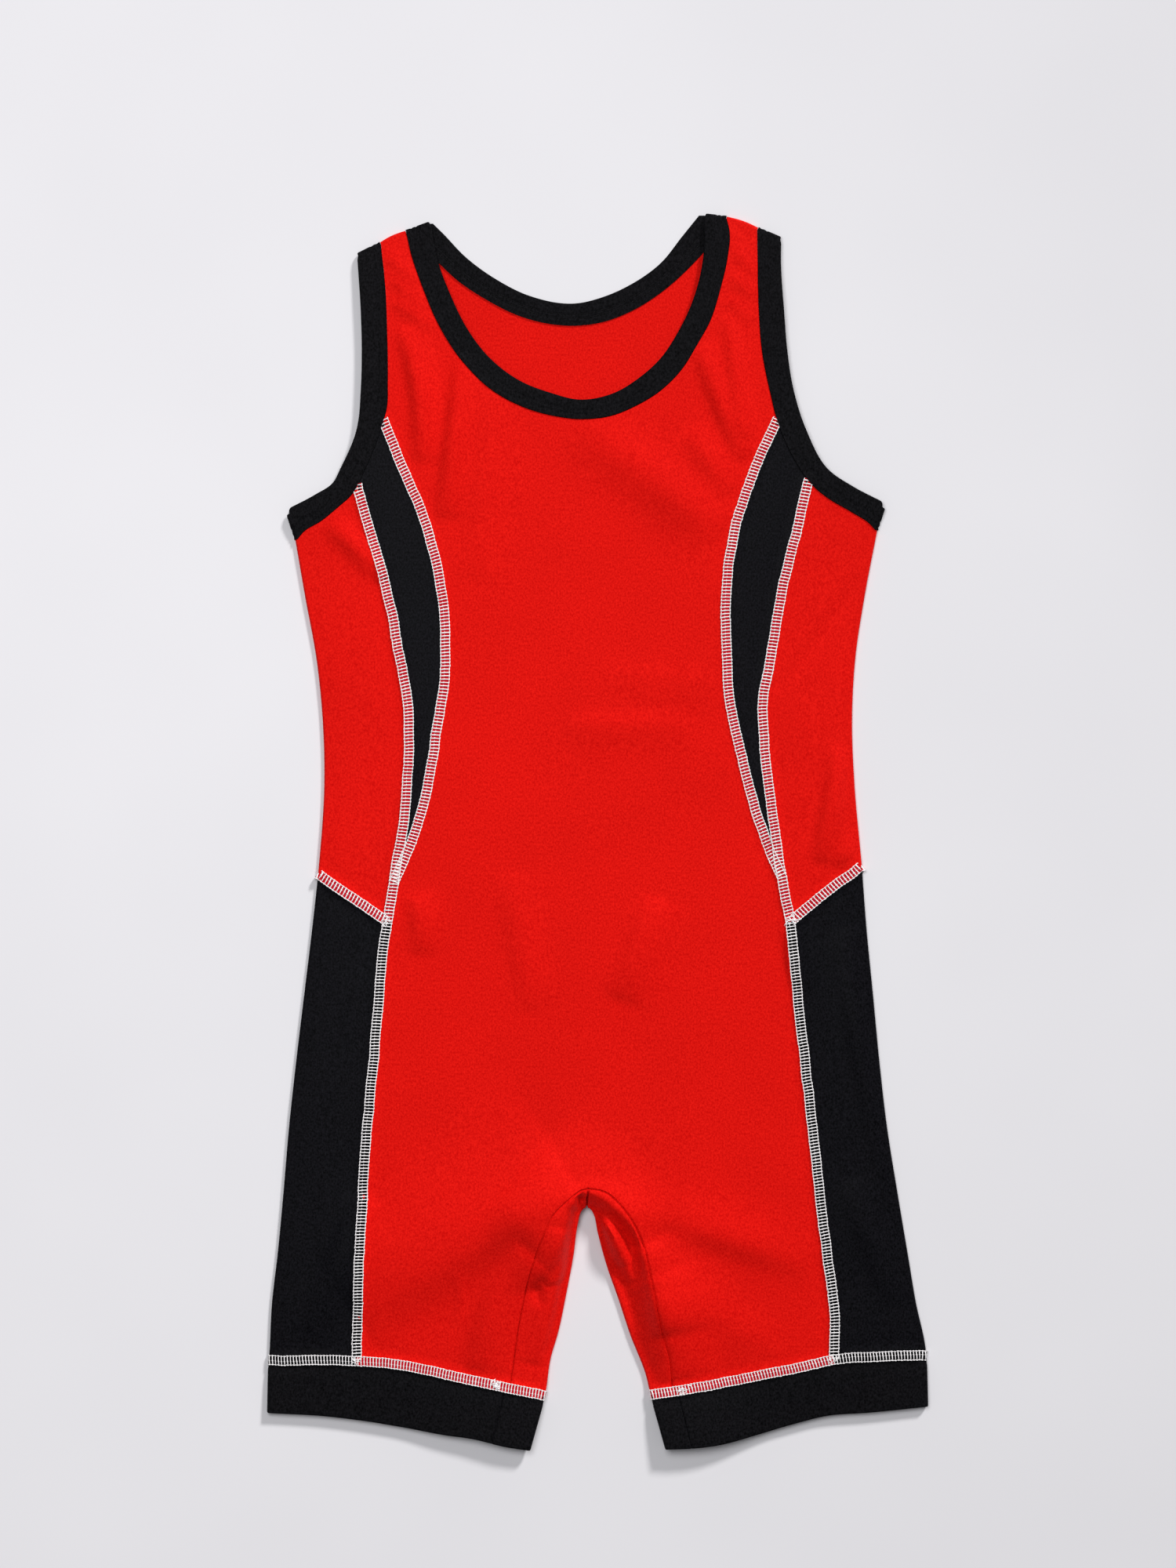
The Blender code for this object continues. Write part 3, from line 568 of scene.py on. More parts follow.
def inside(points, outline):
    """Which points are inside a closed outline."""
    result = np.zeros(len(points), dtype=bool)
    x, y = points[:, 0], points[:, 1]
    for (ax, ay), (bx, by) in zip(outline, np.roll(outline, -1, axis=0)):
        if ay != by:
            crosses = (ay > y) != (by > y)
            result ^= crosses & (x < (bx - ax) * (y - ay) / (by - ay) + ax)
    return result


def filled(outline, spacing):
    """Points and triangles that fill an outline, whose own points come first."""
    low, high = outline.min(axis=0), outline.max(axis=0)
    row = spacing * math.sqrt(3) / 2
    grid = np.array([(x + (j % 2) * spacing / 2, y)
                     for j, y in enumerate(np.arange(low[1], high[1], row))
                     for x in np.arange(low[0], high[0], spacing)])
    border = tree_of([np.vstack((outline, outline[:1]))], BORDER_STEP)
    rim = inset(outline, RIM)
    rim = rim[inside(rim, outline)]
    rim = rim[distance_to(border, rim) > RIM_KEPT * RIM]
    grid = grid[inside(grid, outline)]
    grid = grid[distance_to(border, grid) > RIM + GRID_KEPT * spacing]
    points = [tuple(point) for point in np.vstack((outline, rim, grid))]
    ring = [(k, (k + 1) % len(outline)) for k in range(len(outline))]
    result = delaunay_2d_cdt(points, ring, [], 1, MERGE_DISTANCE)
    return np.array([tuple(point) for point in result[0]]), [tuple(face) for face in result[2]]


def cut(outline, spacing):
    """An outline moved in from its seams, and the points and triangles that fill it."""
    if signed_area(outline) < 0:
        outline = outline[::-1]
    outline = inset(outline, parted(outline))
    return outline, *filled(outline, spacing)


def declared(piece, nodes=()):
    """Makes a piece ride on the garment and stand for its solids."""
    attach(piece, "root")
    if nodes:
        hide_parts(*nodes)
    return piece


def solid_object(name, vertices, faces, finish):
    """An object with a smooth-shaded mesh, in the frame of the model."""
    mesh = bpy.data.meshes.new(name)
    mesh.from_pydata((np.array(vertices) - (*GARMENT_MIDDLE, 0.0)).tolist(), [], faces)
    mesh.materials.append(FINISHES[finish])
    mesh.shade_smooth()
    piece = bpy.data.objects.new(name, mesh)
    bpy.context.scene.collection.objects.link(piece)
    return piece


def cloth(node, vertices, faces, wall, finish, thickness=None):
    """A shell of cloth for a node: an open surface and its wall, thinner where thickness says."""
    piece = solid_object(f"{node}_cloth", vertices, faces, finish)
    work = bmesh.new()
    work.from_mesh(piece.data)
    bmesh.ops.recalc_face_normals(work, faces=work.faces)
    work.to_mesh(piece.data)
    work.free()
    solidify = piece.modifiers.new("Wall", "SOLIDIFY")
    solidify.thickness = wall
    solidify.offset = 0.0
    solidify.use_even_offset = True
    if thickness is not None:
        group = piece.vertex_groups.new(name="thickness")
        for index, share in enumerate(thickness):
            group.add([index], float(share), "REPLACE")
        solidify.vertex_group = group.name
    bpy.context.view_layer.update()
    graph = bpy.context.evaluated_depsgraph_get()
    settled = bpy.data.meshes.new_from_object(piece.evaluated_get(graph))
    settled.name = piece.name
    settled.set_sharp_from_angle(angle=SHARP_ANGLE)
    piece.modifiers.clear()
    piece.data = settled
    return declared(piece, (node,))


SHARP_ANGLE = math.radians(50)


def arc(edge, other, outward, turned, reach=CREASE_REACH):
    """Points round a crease from an edge to the one across it, at shares of the half circle."""
    angles = math.pi * (0.5 - turned)
    middle, half = (edge[2] + other[2]) / 2, (edge[2] - other[2]) / 2
    plan = edge[:2] + np.outer(np.cos(angles), outward) * reach
    return np.column_stack((plan, middle + half * np.sin(angles)))


def row_from(corner, points, vertices):
    """The numbers of a row that starts at a vertex and goes on through new points."""
    first = len(vertices)
    vertices += [list(point) for point in points]
    return [corner, *range(first, len(vertices))]


FULL_TURN = np.arange(1, CREASE_SEGMENTS) / CREASE_SEGMENTS
HALF_TURN = np.arange(1, HALF_TURN_SEGMENTS + 1) / (2 * HALF_TURN_SEGMENTS)


def quads_between(rows):
    """Faces between neighbouring rows of vertex numbers."""
    faces = []
    for first, second in zip(rows, rows[1:]):
        for k in range(len(first) - 1):
            faces.append((first[k], second[k], second[k + 1], first[k + 1]))
    return faces


def flat_piece(node, outline, height, finish, shoulders=()):
    """A panel on one layer, whose shoulder edges turn to the middle of the shoulder crease."""
    outline, plan, faces = cut(outline, SPACING)
    other = back_middle if height is front_middle else front_middle
    vertices = np.column_stack((plan, height(plan, PANEL_WALL))).tolist()
    below = other(outline, PANEL_WALL)
    for side in shoulders:
        rows = []
        for place in shoulder(side):
            corner = nearest_to(outline, place)
            x, y, z = vertices[corner]
            points = arc((x, y, z), (x, y, below[corner]), shoulder_outward(side), HALF_TURN)
            points[-1, 2] += math.copysign(SEAM_GAP / 2, z - below[corner])
            rows.append(row_from(corner, points, vertices))
        faces += quads_between(rows)
    cloth(node, vertices, faces, PANEL_WALL, finish)


def wrapped_piece(node, outline, crease, finish, spacing, first_outward):
    """A panel that lies on both layers and turns round a crease, one run of its outline."""
    outline, plan, triangles = cut(outline, spacing)
    count = len(plan)
    front = np.column_stack((plan, front_middle(plan, PANEL_WALL)))
    back = np.column_stack((plan, back_middle(plan, PANEL_WALL)))
    vertices = np.vstack((front, back)).tolist()
    faces = triangles + [tuple(count + k for k in reversed(face)) for face in triangles]
    edge = [nearest_to(outline, place) for place in crease]
    ahead = 1 if (edge[1] - edge[0]) % len(outline) == 1 else -1
    rows = []
    for k, corner in enumerate(edge):
        outward = across(crease[min(len(crease) - 1, k + 1)] - crease[max(0, k - 1)]) * ahead
        if k == 0 and first_outward is not None:
            outward = first_outward
        points = arc(front[corner], back[corner], outward, FULL_TURN)
        rows.append([*row_from(corner, points, vertices), count + corner])
    faces += quads_between(rows)
    cloth(node, vertices, faces, PANEL_WALL, finish)


def corner_pull(distance, radius):
    """How far a free edge draws back, at a distance from its end, to round its corner."""
    reach = radius - np.minimum(distance, radius)
    return radius - np.sqrt(radius**2 - reach**2)


def at_x(run, x):
    """The point of a run that is nearest to x."""
    return run[int(np.argmin(np.abs(run[:, 0] - x)))]


def finer(run, near, reach, step):
    """A run with more points within reach of one of its places."""
    along = travelled(run)
    middle = along[nearest_to(run, near)]
    extra = np.arange(middle - reach, middle + reach + step / 2, step)
    extra = extra[(extra > step / 2) & (extra < along[-1] - step / 2)]
    kept = along[np.min(np.abs(along[:, None] - extra), axis=1) > step / 2]
    where = np.unique(np.concatenate(([0.0], kept, extra, along[-1:])))
    return points_at(run, where / along[-1])


def sections(seam, edge, shares, height, walls, first_corner=0.0, last_corner=0.0):
    """Rows of points across a band, from its seam to its free edge, whose corners may be rounded."""
    along = travelled(seam)
    edge = points_at(edge, along / along[-1])
    width = np.linalg.norm(edge - seam, axis=1)[:, None]
    pull = corner_pull(along, first_corner) + corner_pull(along[-1] - along, last_corner)
    edge = seam + (edge - seam) * (1 - pull[:, None] / width)
    seam = seam + (edge - seam) / width * SEAM_GAP / 2
    plan = seam[:, None, :] + (edge - seam)[:, None, :] * shares[None, :, None]
    z = height(plan.reshape(-1, 2), np.tile(walls, len(seam))).reshape(len(seam), len(shares))
    return np.concatenate((plan, z[:, :, None]), axis=2)


def round_crease(front_row, back_row, outward):
    """The rows of a band between its front and its back, round a crease."""
    turns = [arc(front, back, outward, FULL_TURN) for front, back in zip(front_row, back_row)]
    return np.array(turns).transpose(1, 0, 2)


def loop_of(front_rows, back_rows, outward_end, outward_start):
    """The rows of a band that runs along the front, turns, and comes back along the back."""
    return np.concatenate((
        front_rows,
        round_crease(front_rows[-1], back_rows[-1], outward_end),
        back_rows[::-1],
        round_crease(front_rows[0], back_rows[0], outward_start)[::-1],
    ))


def band(node, rows, fullness):
    """A closed loop of cloth through rows of points, with its thickness across the rows."""
    count, width = rows.shape[:2]
    numbers = np.arange(count * width).reshape(count, width)
    faces = quads_between([list(row) for row in (*numbers, numbers[0])])
    faces = [tuple(int(k) for k in face) for face in faces]
    thickness = np.tile(fullness, count)
    piece = cloth(node, rows.reshape(-1, 3), faces, BAND_WALL, "black_band", thickness)


def band_shares(columns, width):
    """Places across a band, closer together at its rounded free edge, and its fullness there."""
    shares = np.linspace(0.0, 1.0 - ROUND_EDGE / width, columns)
    angles = np.linspace(0.0, math.pi / 2, ROUND_EDGE_SEGMENTS + 1)[1:]
    rounding = 1.0 - ROUND_EDGE / width * (1 - np.sin(angles))
    shares = np.concatenate((shares, rounding))
    fullness = np.concatenate((np.ones(columns), np.maximum(np.cos(angles), LEAST_FULLNESS)))
    return shares, fullness


ROUND_EDGE = 0.9 * MM
ROUND_EDGE_SEGMENTS = 5
LEAST_FULLNESS = 0.05


def outline_of(side, names):
    """An outline through the named runs of one side, turned round where a minus goes before."""
    return chain(*(PATTERN[side][name.lstrip("-")][:: -1 if name[0] == "-" else 1]
                   for name in names.split()))


def body_panel(node, neck, top, height):
    """The red front or back, with its straps and the inner halves of both legs."""
    half = {side: outline_of(side, top + " leg_seam front_hem -gusset_seam") for side in SIDES}
    right, left = shoulder("right")[1:-1], shoulder("left")[1:-1][::-1]
    outline = np.vstack((neck, right, half["right"], half["left"][::-1][1:], left))
    flat_piece(node, outline, height, "red_knit", SIDES)


def side_panels(side):
    """The panels of one side: one inset in the front, and three that turn round a crease."""
    runs = PATTERN[side]
    for name, names, crease, finish, spacing in (
        ("insert", "insert_top outer_upper -inner_princess", None, "black_knit", SPACING),
        ("side", "underarm body_crease hip_seam -outer_lower -outer_upper", "body_crease",
         "red_knit", SPACING),
        ("thigh", "-hip_seam leg_crease thigh_hem -leg_seam", "leg_crease", "black_knit", SPACING),
        ("gusset", "gusset_seam gusset_hem -inner_crease -crotch_seam", "inner_crease",
         "red_knit", FINE_SPACING),
    ):
        outline = outline_of(side, names)[:-1]
        if crease is None:
            flat_piece(f"{name}_{side}", outline, front_middle, finish)
            continue
        down = unit(np.diff(runs["crotch_seam"][[0, -1]], axis=0))[0] if name == "gusset" else None
        wrapped_piece(f"{name}_{side}", outline, runs[crease], finish, spacing, down)


def neck_rows(shares, walls):
    """The neck binding's rows, one loop round the front and the back neckline."""
    front = sections(FRONT_NECK, smooth(FRONT_NECK_OPENING), shares, front_middle, walls,
                     SHOULDER_CORNER, SHOULDER_CORNER)
    back = sections(BACK_NECK, smooth(BACK_NECK_OPENING), shares, back_middle, walls)
    return loop_of(front, back, shoulder_outward("right"), shoulder_outward("left"))


def armhole_rows(side, shares, walls):
    """An armhole binding's rows, over the shoulder and under the arm."""
    seam, opening = PATTERN[side]["armhole_seam"], PATTERN[side]["armhole_opening"]
    seam = finer(seam, seam[-1], UNDERARM_CORNER, CORNER_STEP)
    layers = [sections(seam, opening, shares, height, walls, SHOULDER_CORNER, UNDERARM_CORNER)
              for height in (front_middle, back_middle)]
    underarm = facing(opening[-1] - seam[-1], seam[-1][0])
    return loop_of(*layers, underarm, shoulder_outward(side))


def hem_rows(side, shares, walls):
    """A hem band's rows, a flattened ring round one leg opening, with the seam that closes it."""
    seam, edge = PATTERN[side]["hem_seam"], PATTERN[side]["hem_edge"]
    join = at_x(seam, HEM_JOIN[side])
    seam = finer(seam, join, 4 * JOIN_REACH, JOIN_REACH / 2)
    front, back = (sections(seam, edge, shares, height, walls)
                   for height in (front_middle, back_middle))
    front[:, :, 2] -= JOIN_DIP * fade(np.linalg.norm(seam - join, axis=1), JOIN_REACH)[:, None]
    outer, inner = facing(edge[0] - seam[0], seam[0][0]), facing(edge[-1] - seam[-1], -seam[0][0])
    return loop_of(front, back, inner, outer)


def binding_fullness(places):
    """Places across a binding and its fullness there, drawn in under its rows of topstitching."""
    shares, fullness = band_shares(BINDING_COLUMNS, BINDING_WIDTH)
    for place in places:
        dip = fade(shares * BINDING_WIDTH - place, TOPSTITCH_REACH)
        fullness = fullness - TOPSTITCH_DIP * dip
    return shares, np.maximum(fullness, LEAST_FULLNESS)


def binding_rows(name):
    """The rows of the neck's or an armhole's binding, and where its topstitching runs."""
    places = TOPSTITCH_ROWS["neck" if name == "neck" else "armhole"]
    shares, fullness = binding_fullness(places)
    walls = np.full(len(shares), BAND_WALL)
    if name == "neck":
        return neck_rows(shares, walls), places, shares, fullness
    return armhole_rows(name.split("_")[1], shares, walls), places, shares, fullness


def bands():
    """The bindings of the neck and the armholes, and the hem bands."""
    for node, name in (("neck_binding", "neck"),
                       *((f"armhole_binding_{side}", f"armhole_{side}") for side in SIDES)):
        rows, _, _, fullness = binding_rows(name)
        band(node, rows, fullness)
    shares, fullness = band_shares(HEM_COLUMNS, HEM_WIDTH)
    grow = np.clip((shares * HEM_WIDTH - HEM_FLAT) / HEM_GROW, 0.0, 1.0)
    walls = PANEL_WALL + (BAND_WALL - PANEL_WALL) * grow**2 * (3 - 2 * grow)
    for side in SIDES:
        band(f"hem_band_{side}", hem_rows(side, shares, walls), fullness * walls / BAND_WALL)


BINDING_WIDTH = 13.5 * MM
HEM_WIDTH = 32.0 * MM
HEM_FLAT = 3.5 * MM            # the hem band is as thin as a panel under the flatlock threads
HEM_GROW = 3.0 * MM            # and reaches its full wall over this much more
HEM_JOIN = {"left": -49.2 * MM, "right": 51.5 * MM}    # where the ring of a hem band is closed
JOIN_DIP = 0.9 * MM
JOIN_REACH = 0.6 * MM
SHOULDER_CORNER = 0.6 * MM
UNDERARM_CORNER = 3.0 * MM
CORNER_STEP = 0.6 * MM
TOPSTITCH_ROWS = {"neck": (3.3 * MM, 5.9 * MM), "armhole": (1.8 * MM, 4.8 * MM)}   # from the seam
TOPSTITCH_DIP = 0.5                        # of the band's thickness
TOPSTITCH_REACH = 0.7 * MM


def tube_faces(rings, sides, first=0):
    """The faces of a closed tube through rings of vertices that are numbered one after another."""
    last = first + (rings - 1) * sides
    faces = [(ring + j, ring + (j + 1) % sides, ring + (j + 1) % sides + sides, ring + j + sides)
             for ring in range(first, last, sides) for j in range(sides)]
    return [*faces, tuple(reversed(range(first, first + sides))), tuple(range(last, last + sides))]


def tube(path, wide, high, sides=6):
    """A closed thread through places (u, v, w) of a stitch, with its half width and half height."""
    path, wide, high = np.array(path), np.array(wide), np.array(high)
    ahead = np.gradient(path * (STITCH_ASPECT, 1.0, 1.0), axis=0)
    ahead[:, 2] = 0.0
    ahead = unit(ahead)
    side = np.column_stack((ahead[:, 1] / STITCH_ASPECT, -ahead[:, 0], np.zeros(len(path))))
    vertices = []
    for k in range(len(path)):
        for j in range(sides):
            angle = 2 * math.pi * (j + 0.5) / sides
            vertices.append(path[k] + side[k] * wide[k] * math.cos(angle)
                            + np.array((0.0, 0.0, high[k] * math.sin(angle))))
    return np.array(vertices), tube_faces(len(path), sides)


def joined(parts):
    """One mesh from several, as vertices and faces."""
    vertices, faces, count = [], [], 0
    for points, polygons in parts:
        faces += [tuple(k + count for k in face) for face in polygons]
        vertices.append(points)
        count += len(points)
    return np.vstack(vertices), faces


STITCH_ASPECT = 2.0    # a stitch's u runs in pitches of about this many mm, v and w in mm

# The threads of one repeat of each stitch: places (u, v, w), half widths, half heights and sides
STITCHES = {
    # two edge loops, a rung and its needle loop in the middle
    "flatlock": (
        (((-0.5, -2.6, 0.16), (-0.25, -2.76, 0.3), (0.05, -2.74, 0.34), (0.3, -2.62, 0.3),
          (0.52, -2.46, 0.14)), (0.2, 0.29, 0.32, 0.29, 0.18), (0.12, 0.2, 0.22, 0.2, 0.1)),
        (((-0.42, 2.42, 0.14), (-0.2, 2.58, 0.3), (0.1, 2.72, 0.34), (0.38, 2.74, 0.28),
          (0.58, 2.6, 0.14)), (0.18, 0.28, 0.31, 0.28, 0.18), (0.12, 0.2, 0.22, 0.2, 0.1)),
        (((-0.04, -2.5, 0.2), (-0.02, -1.4, 0.26), (0.03, 0.1, 0.34), (0.1, 1.4, 0.26),
          (0.18, 2.5, 0.2)), (0.36, 0.32, 0.38, 0.36, 0.4), (0.18, 0.2, 0.22, 0.2, 0.18)),
        (((-0.3, 0.3, 0.14), (-0.14, 0.36, 0.34), (0.05, 0.4, 0.4), (0.24, 0.44, 0.32),
          (0.38, 0.48, 0.14)), (0.12, 0.2, 0.24, 0.2, 0.12), (0.1, 0.18, 0.2, 0.18, 0.1)),
    ),
    # one thread across the edge of the binding inside the back neck
    "overlock": (
        (((-0.1, -1.0, 0.0), (0.0, -0.3, 0.22), (0.08, 0.7, 0.05)), (0.3, 0.42, 0.3),
         (0.14, 0.2, 0.14), 5),
    ),
    # a short thread that dives into the cloth at both ends
    "topstitch": (
        (((-0.36, 0, -0.1), (-0.2, 0, 0.1), (0.2, 0, 0.1), (0.36, 0, -0.1)),
         (0.16, 0.22, 0.22, 0.16), (0.1, 0.15, 0.15, 0.1), 5),
    ),
}


def seam_path(plan, layer):
    """A seam's outer points on one layer of the cloth, and its unit vectors to the right."""
    height, sign = (front_middle, 1.0) if layer == "front" else (back_middle, -1.0)
    plan = spaced(plan, PATH_STEP)
    right = rights(plan)
    plan = plan + right * wander(plan)[:, None]
    low, z, high = (height(plan + right * reach, PANEL_WALL)
                    for reach in (-PATH_REACH, 0.0, PATH_REACH))
    sides = unit(np.column_stack((right, (high - low) / (2 * PATH_REACH))))
    return np.column_stack((plan, z + sign * PANEL_WALL / 2)), sides


def wander(plan):
    """How far a sewn line strays sideways from its seam, which it keeps to at both ends."""
    along = travelled(plan)
    settled = np.clip(np.minimum(along, along[-1] - along) / WANDER_SIZE, 0.0, 1.0)
    seat = (WANDER_SEAT * plan[0][0], WANDER_SEAT * plan[-1][1])
    stray = [noise.noise(Vector((s / WANDER_SIZE, *seat))) for s in along]
    return WANDER * settled * np.array(stray)


def extended(plan, length):
    """A seam carried on straight before its start."""
    back = unit(plan[0] - plan[1])
    return np.vstack((plan[0] + back * length, plan))


def tucked(points):
    """Threads, sunk where they run on under an armhole binding, and none below the surface."""
    for side in SIDES:
        runs = PATTERN[side]
        cover = np.vstack((runs["armhole_seam"], runs["armhole_opening"][::-1]))
        under = np.flatnonzero(inside(points[:, :2], cover))
        points[under, 2] += np.where(points[under, 2] > LAYER_STEP, -TUCK, TUCK)
    points[:, 2] = np.maximum(points[:, 2], 0.0)
    return points


def crease_path(end, outward, side):
    """The outer points round a crease, from front to back, at a seam's end, and their sides."""
    plan = np.array([end])
    top = front_middle(plan, PANEL_WALL)[0] + PANEL_WALL / 2
    bottom = back_middle(plan, PANEL_WALL)[0] - PANEL_WALL / 2
    points = arc((*end, top), (*end, bottom), outward, FULL_TURN, CREASE_REACH + PANEL_WALL / 2)
    return points, np.repeat(side * (1, 1, 0), len(points), axis=0)


def frames_of(points, sides):
    """Unit vectors across and away from the cloth along a path, from its rough sideways ones."""
    ahead = unit(np.gradient(points, axis=0))
    sides = unit(sides - ahead * np.sum(sides * ahead, axis=1, keepdims=True))
    return sides, np.cross(sides, ahead)


def sewn(name, slot, stitch, paths, pitch, jitter=0.0, seed=1):
    """Stitches along paths, as one mesh. A path is its points and its sideways vectors."""
    chance = np.random.default_rng(seed)
    template, polygons = joined([tube(*thread) for thread in STITCHES[stitch]])
    vertices, faces, count = [], [], 0
    for points, sides in paths:
        sides, away = frames_of(points, sides)
        along = travelled(points)
        number = max(1, round(along[-1] / pitch))
        step = along[-1] / number
        slip = chance.normal(0.0, jitter, (number, 3, 1)) if jitter else np.zeros((number, 3, 1))
        u = np.arange(number)[:, None] + 0.5 + template[None, :, 0] * (1 + slip[:, 0])
        v = (template[None, :, 1] + slip[:, 1] + slip[:, 2] * template[None, :, 0]) * MM
        w = np.broadcast_to(template[None, :, 2] * MM, v.shape)
        s = np.clip(u * step, 0.0, along[-1])
        place, side, up = (
            np.stack([np.interp(s, along, values[:, k]) for k in range(3)], axis=-1)
            for values in (points, sides, away)
        )
        made = place + side * v[..., None] + up * w[..., None]
        vertices.append(made.reshape(-1, 3))
        for k in range(number):
            first = count + k * len(template)
            faces += [tuple(first + j for j in face) for face in polygons]
        count += number * len(template)
    declared(solid_object(name, tucked(np.vstack(vertices)), faces, slot))


WANDER = 0.45 * MM
WANDER_SIZE = 14.0 * MM
WANDER_SEAT = 50               # a seam's ends, times this, are its place in the noise
TUCK = 0.75 * MM
TUCK_LENGTH = 1.2 * MM
PATH_STEP = 1.0 * MM
PATH_REACH = 2.0 * MM
THREAD_JITTER = 0.07
FLATLOCK_SEEDS = {"left": 10, "right": 20}
LEG_PITCH = 1.85 * MM
PRINCESS_PITCH = 1.95 * MM
HIP_PITCH = 2.1 * MM
HEM_PITCH = 1.8 * MM
# The laps of cloth under the threads, in mm
BED_HALF_WIDTH = 2.7
BED_HEIGHT = 0.1
BED_BEVEL = 0.2
BED_DROP = 0.3                 # the edges of a lap lie this much lower than its top
BED_SHARP_ANGLE = math.radians(30)
PLAIN_LAP_HALF_WIDTH = 1.2     # the allowance of a plain seam, down in its dip
PLAIN_LAP_HEIGHT = -0.8


def laid_side(plan, layer):
    """A path on one layer, which sewn can follow."""
    points, sides = seam_path(plan, layer)
    return points, sides if layer == "front" else -sides


def round_path(plan, outward_start=None, outward_end=None):
    """A path along a seam's front, round the crease at one or both ends, and along its back."""
    front, back = seam_path(plan, "front"), seam_path(plan, "back")
    runs = [front]
    if outward_end is not None:
        runs.append(crease_path(plan[-1], outward_end, front[1][-1:]))
    runs.append([part[::-1] for part in back])
    if outward_start is not None:
        points, sides = crease_path(plan[0], outward_start, front[1][:1])
        runs += [(points[::-1], sides), [part[:1] for part in front]]
    return tuple(np.vstack(parts) for parts in zip(*runs))


def bed(name, slot, paths, half_width=BED_HALF_WIDTH, height=BED_HEIGHT):
    """The lap of cloth along a seam, which shows in the gaps between the rungs or the edges."""
    vertices, faces, count = [], [], 0
    inner, low = half_width - BED_BEVEL, height - BED_DROP
    for points, sides in paths:
        sides, away = frames_of(points, sides)
        profile = ((-half_width, low), (-inner, height), (inner, height), (half_width, low))
        rows = [points + sides * v * MM + away * w * MM for v, w in profile]
        vertices.append(np.stack(rows, axis=1).reshape(-1, 3))
        faces += tube_faces(len(points), len(rows), count)
        count += len(points) * len(rows)
    piece = solid_object(name, tucked(np.vstack(vertices)), faces, slot)
    piece.data.set_sharp_from_angle(angle=BED_SHARP_ANGLE)
    declared(piece)


def flatlock_seams(side, seed):
    """Every flatlock seam of one side."""
    runs = PATTERN[side]
    outward = np.array((-1.0 if side == "left" else 1.0, 0.0))
    inner_outward = facing(runs["inner_crease"][-1] - runs["inner_crease"][-2], -outward[0])
    inner = extended(runs["inner_princess"], TUCK_LENGTH)
    outer = extended(outline_of(side, "outer_upper outer_lower"), TUCK_LENGTH)
    front = [laid_side(inner, "front"), laid_side(outer, "front")]
    back = [laid_side(outer, "back")]
    leg = [laid_side(runs["leg_seam"], layer) for layer in ("front", "back")]
    hips = [round_path(runs["hip_seam"][::-1], outward_end=outward)]
    hems = [round_path(runs["hem_seam"], outward_start=outward, outward_end=inner_outward)]
    red_hem = outline_of(side, "front_hem gusset_hem")
    plans = (
        ("princess", front, PRINCESS_PITCH, (("princess", "red_thread", front),)),
        ("back_princess", back, PRINCESS_PITCH, (("back_princess", "red_thread", back),)),
        ("leg", leg, LEG_PITCH, (("leg", "black_thread", leg),)),
        ("hip", hips, HIP_PITCH, (("hip", "red_thread", hips),)),
        ("hem", hems, HEM_PITCH, (
            ("thigh_hem", "black_thread", [round_path(runs["thigh_hem"], outward_start=outward)]),
            ("hem", "red_thread", [round_path(red_hem, outward_end=inner_outward)]),
        )),
    )
    plain = [laid_side(runs[name], layer) for name in ("gusset_seam", "crotch_seam")
             for layer in ("front", "back")]
    bed(f"lap_gusset_{side}", "red_knit", plain, PLAIN_LAP_HALF_WIDTH, PLAIN_LAP_HEIGHT)
    for number, (name, paths, pitch, laps) in enumerate(plans):
        sewn(f"flatlock_{name}_{side}", "white_thread", "flatlock", paths, pitch,
             THREAD_JITTER, seed + number)
        for lap, slot, lap_paths in laps:
            bed(f"lap_{lap}_{side}", slot, lap_paths)


def tacks(side, seed):
    """The tangles of thread where seams of one side cross or a row of stitches ends."""
    chance = np.random.default_rng(seed)
    runs = PATTERN[side]
    overlap = at_x(runs["hem_seam"], HEM_JOIN[side] * TACK_FROM_JOIN)
    places = (runs["hip_seam"][-1], runs["leg_seam"][-1], overlap)
    parts = []
    for place, count in zip(places, TACK_COUNTS):
        for _ in range(count):
            middle = place / MM + chance.normal(0.0, TACK_SPREAD, 2)
            angle, length, bow, high = (chance.uniform(*span) for span in TACK_SPANS)
            along = np.array(TACK_SHARES) * length
            sideways = np.array((0.0, bow, bow, 0.0))
            x = along * math.cos(angle) - sideways * math.sin(angle)
            y = along * math.sin(angle) + sideways * math.cos(angle)
            low = high - TACK_DIVE
            path = np.column_stack((x / STITCH_ASPECT, y, (low, high, high, low)))
            points, faces = tube(path, TACK_HALF_WIDTHS, TACK_HALF_HEIGHTS, sides=5)
            plan = (points[:, :2] * (STITCH_ASPECT, 1.0) + middle) * MM
            z = front_middle(plan, PANEL_WALL) + PANEL_WALL / 2 + points[:, 2] * MM
            parts.append((np.column_stack((plan, z)), faces))
    vertices, faces = joined(parts)
    declared(solid_object(f"tacks_{side}", vertices, faces, "white_thread"))


def overlock():
    """The black overlocking along the lower edge of the binding inside the back neck."""
    plan = spaced(BACK_NECK, PATH_STEP)
    points = np.column_stack((plan, back_middle(plan, PANEL_WALL) + PANEL_WALL / 2))
    sides = np.column_stack((-rights(plan), np.zeros(len(plan))))
    sewn("overlock_neck", "black_thread", "overlock", [(points, -sides)], OVERLOCK_PITCH,
         OVERLOCK_JITTER, OVERLOCK_SEED)
    bed("lap_neck", "black_band", [(points, sides)], PLAIN_LAP_HALF_WIDTH, PLAIN_LAP_HEIGHT / 2)


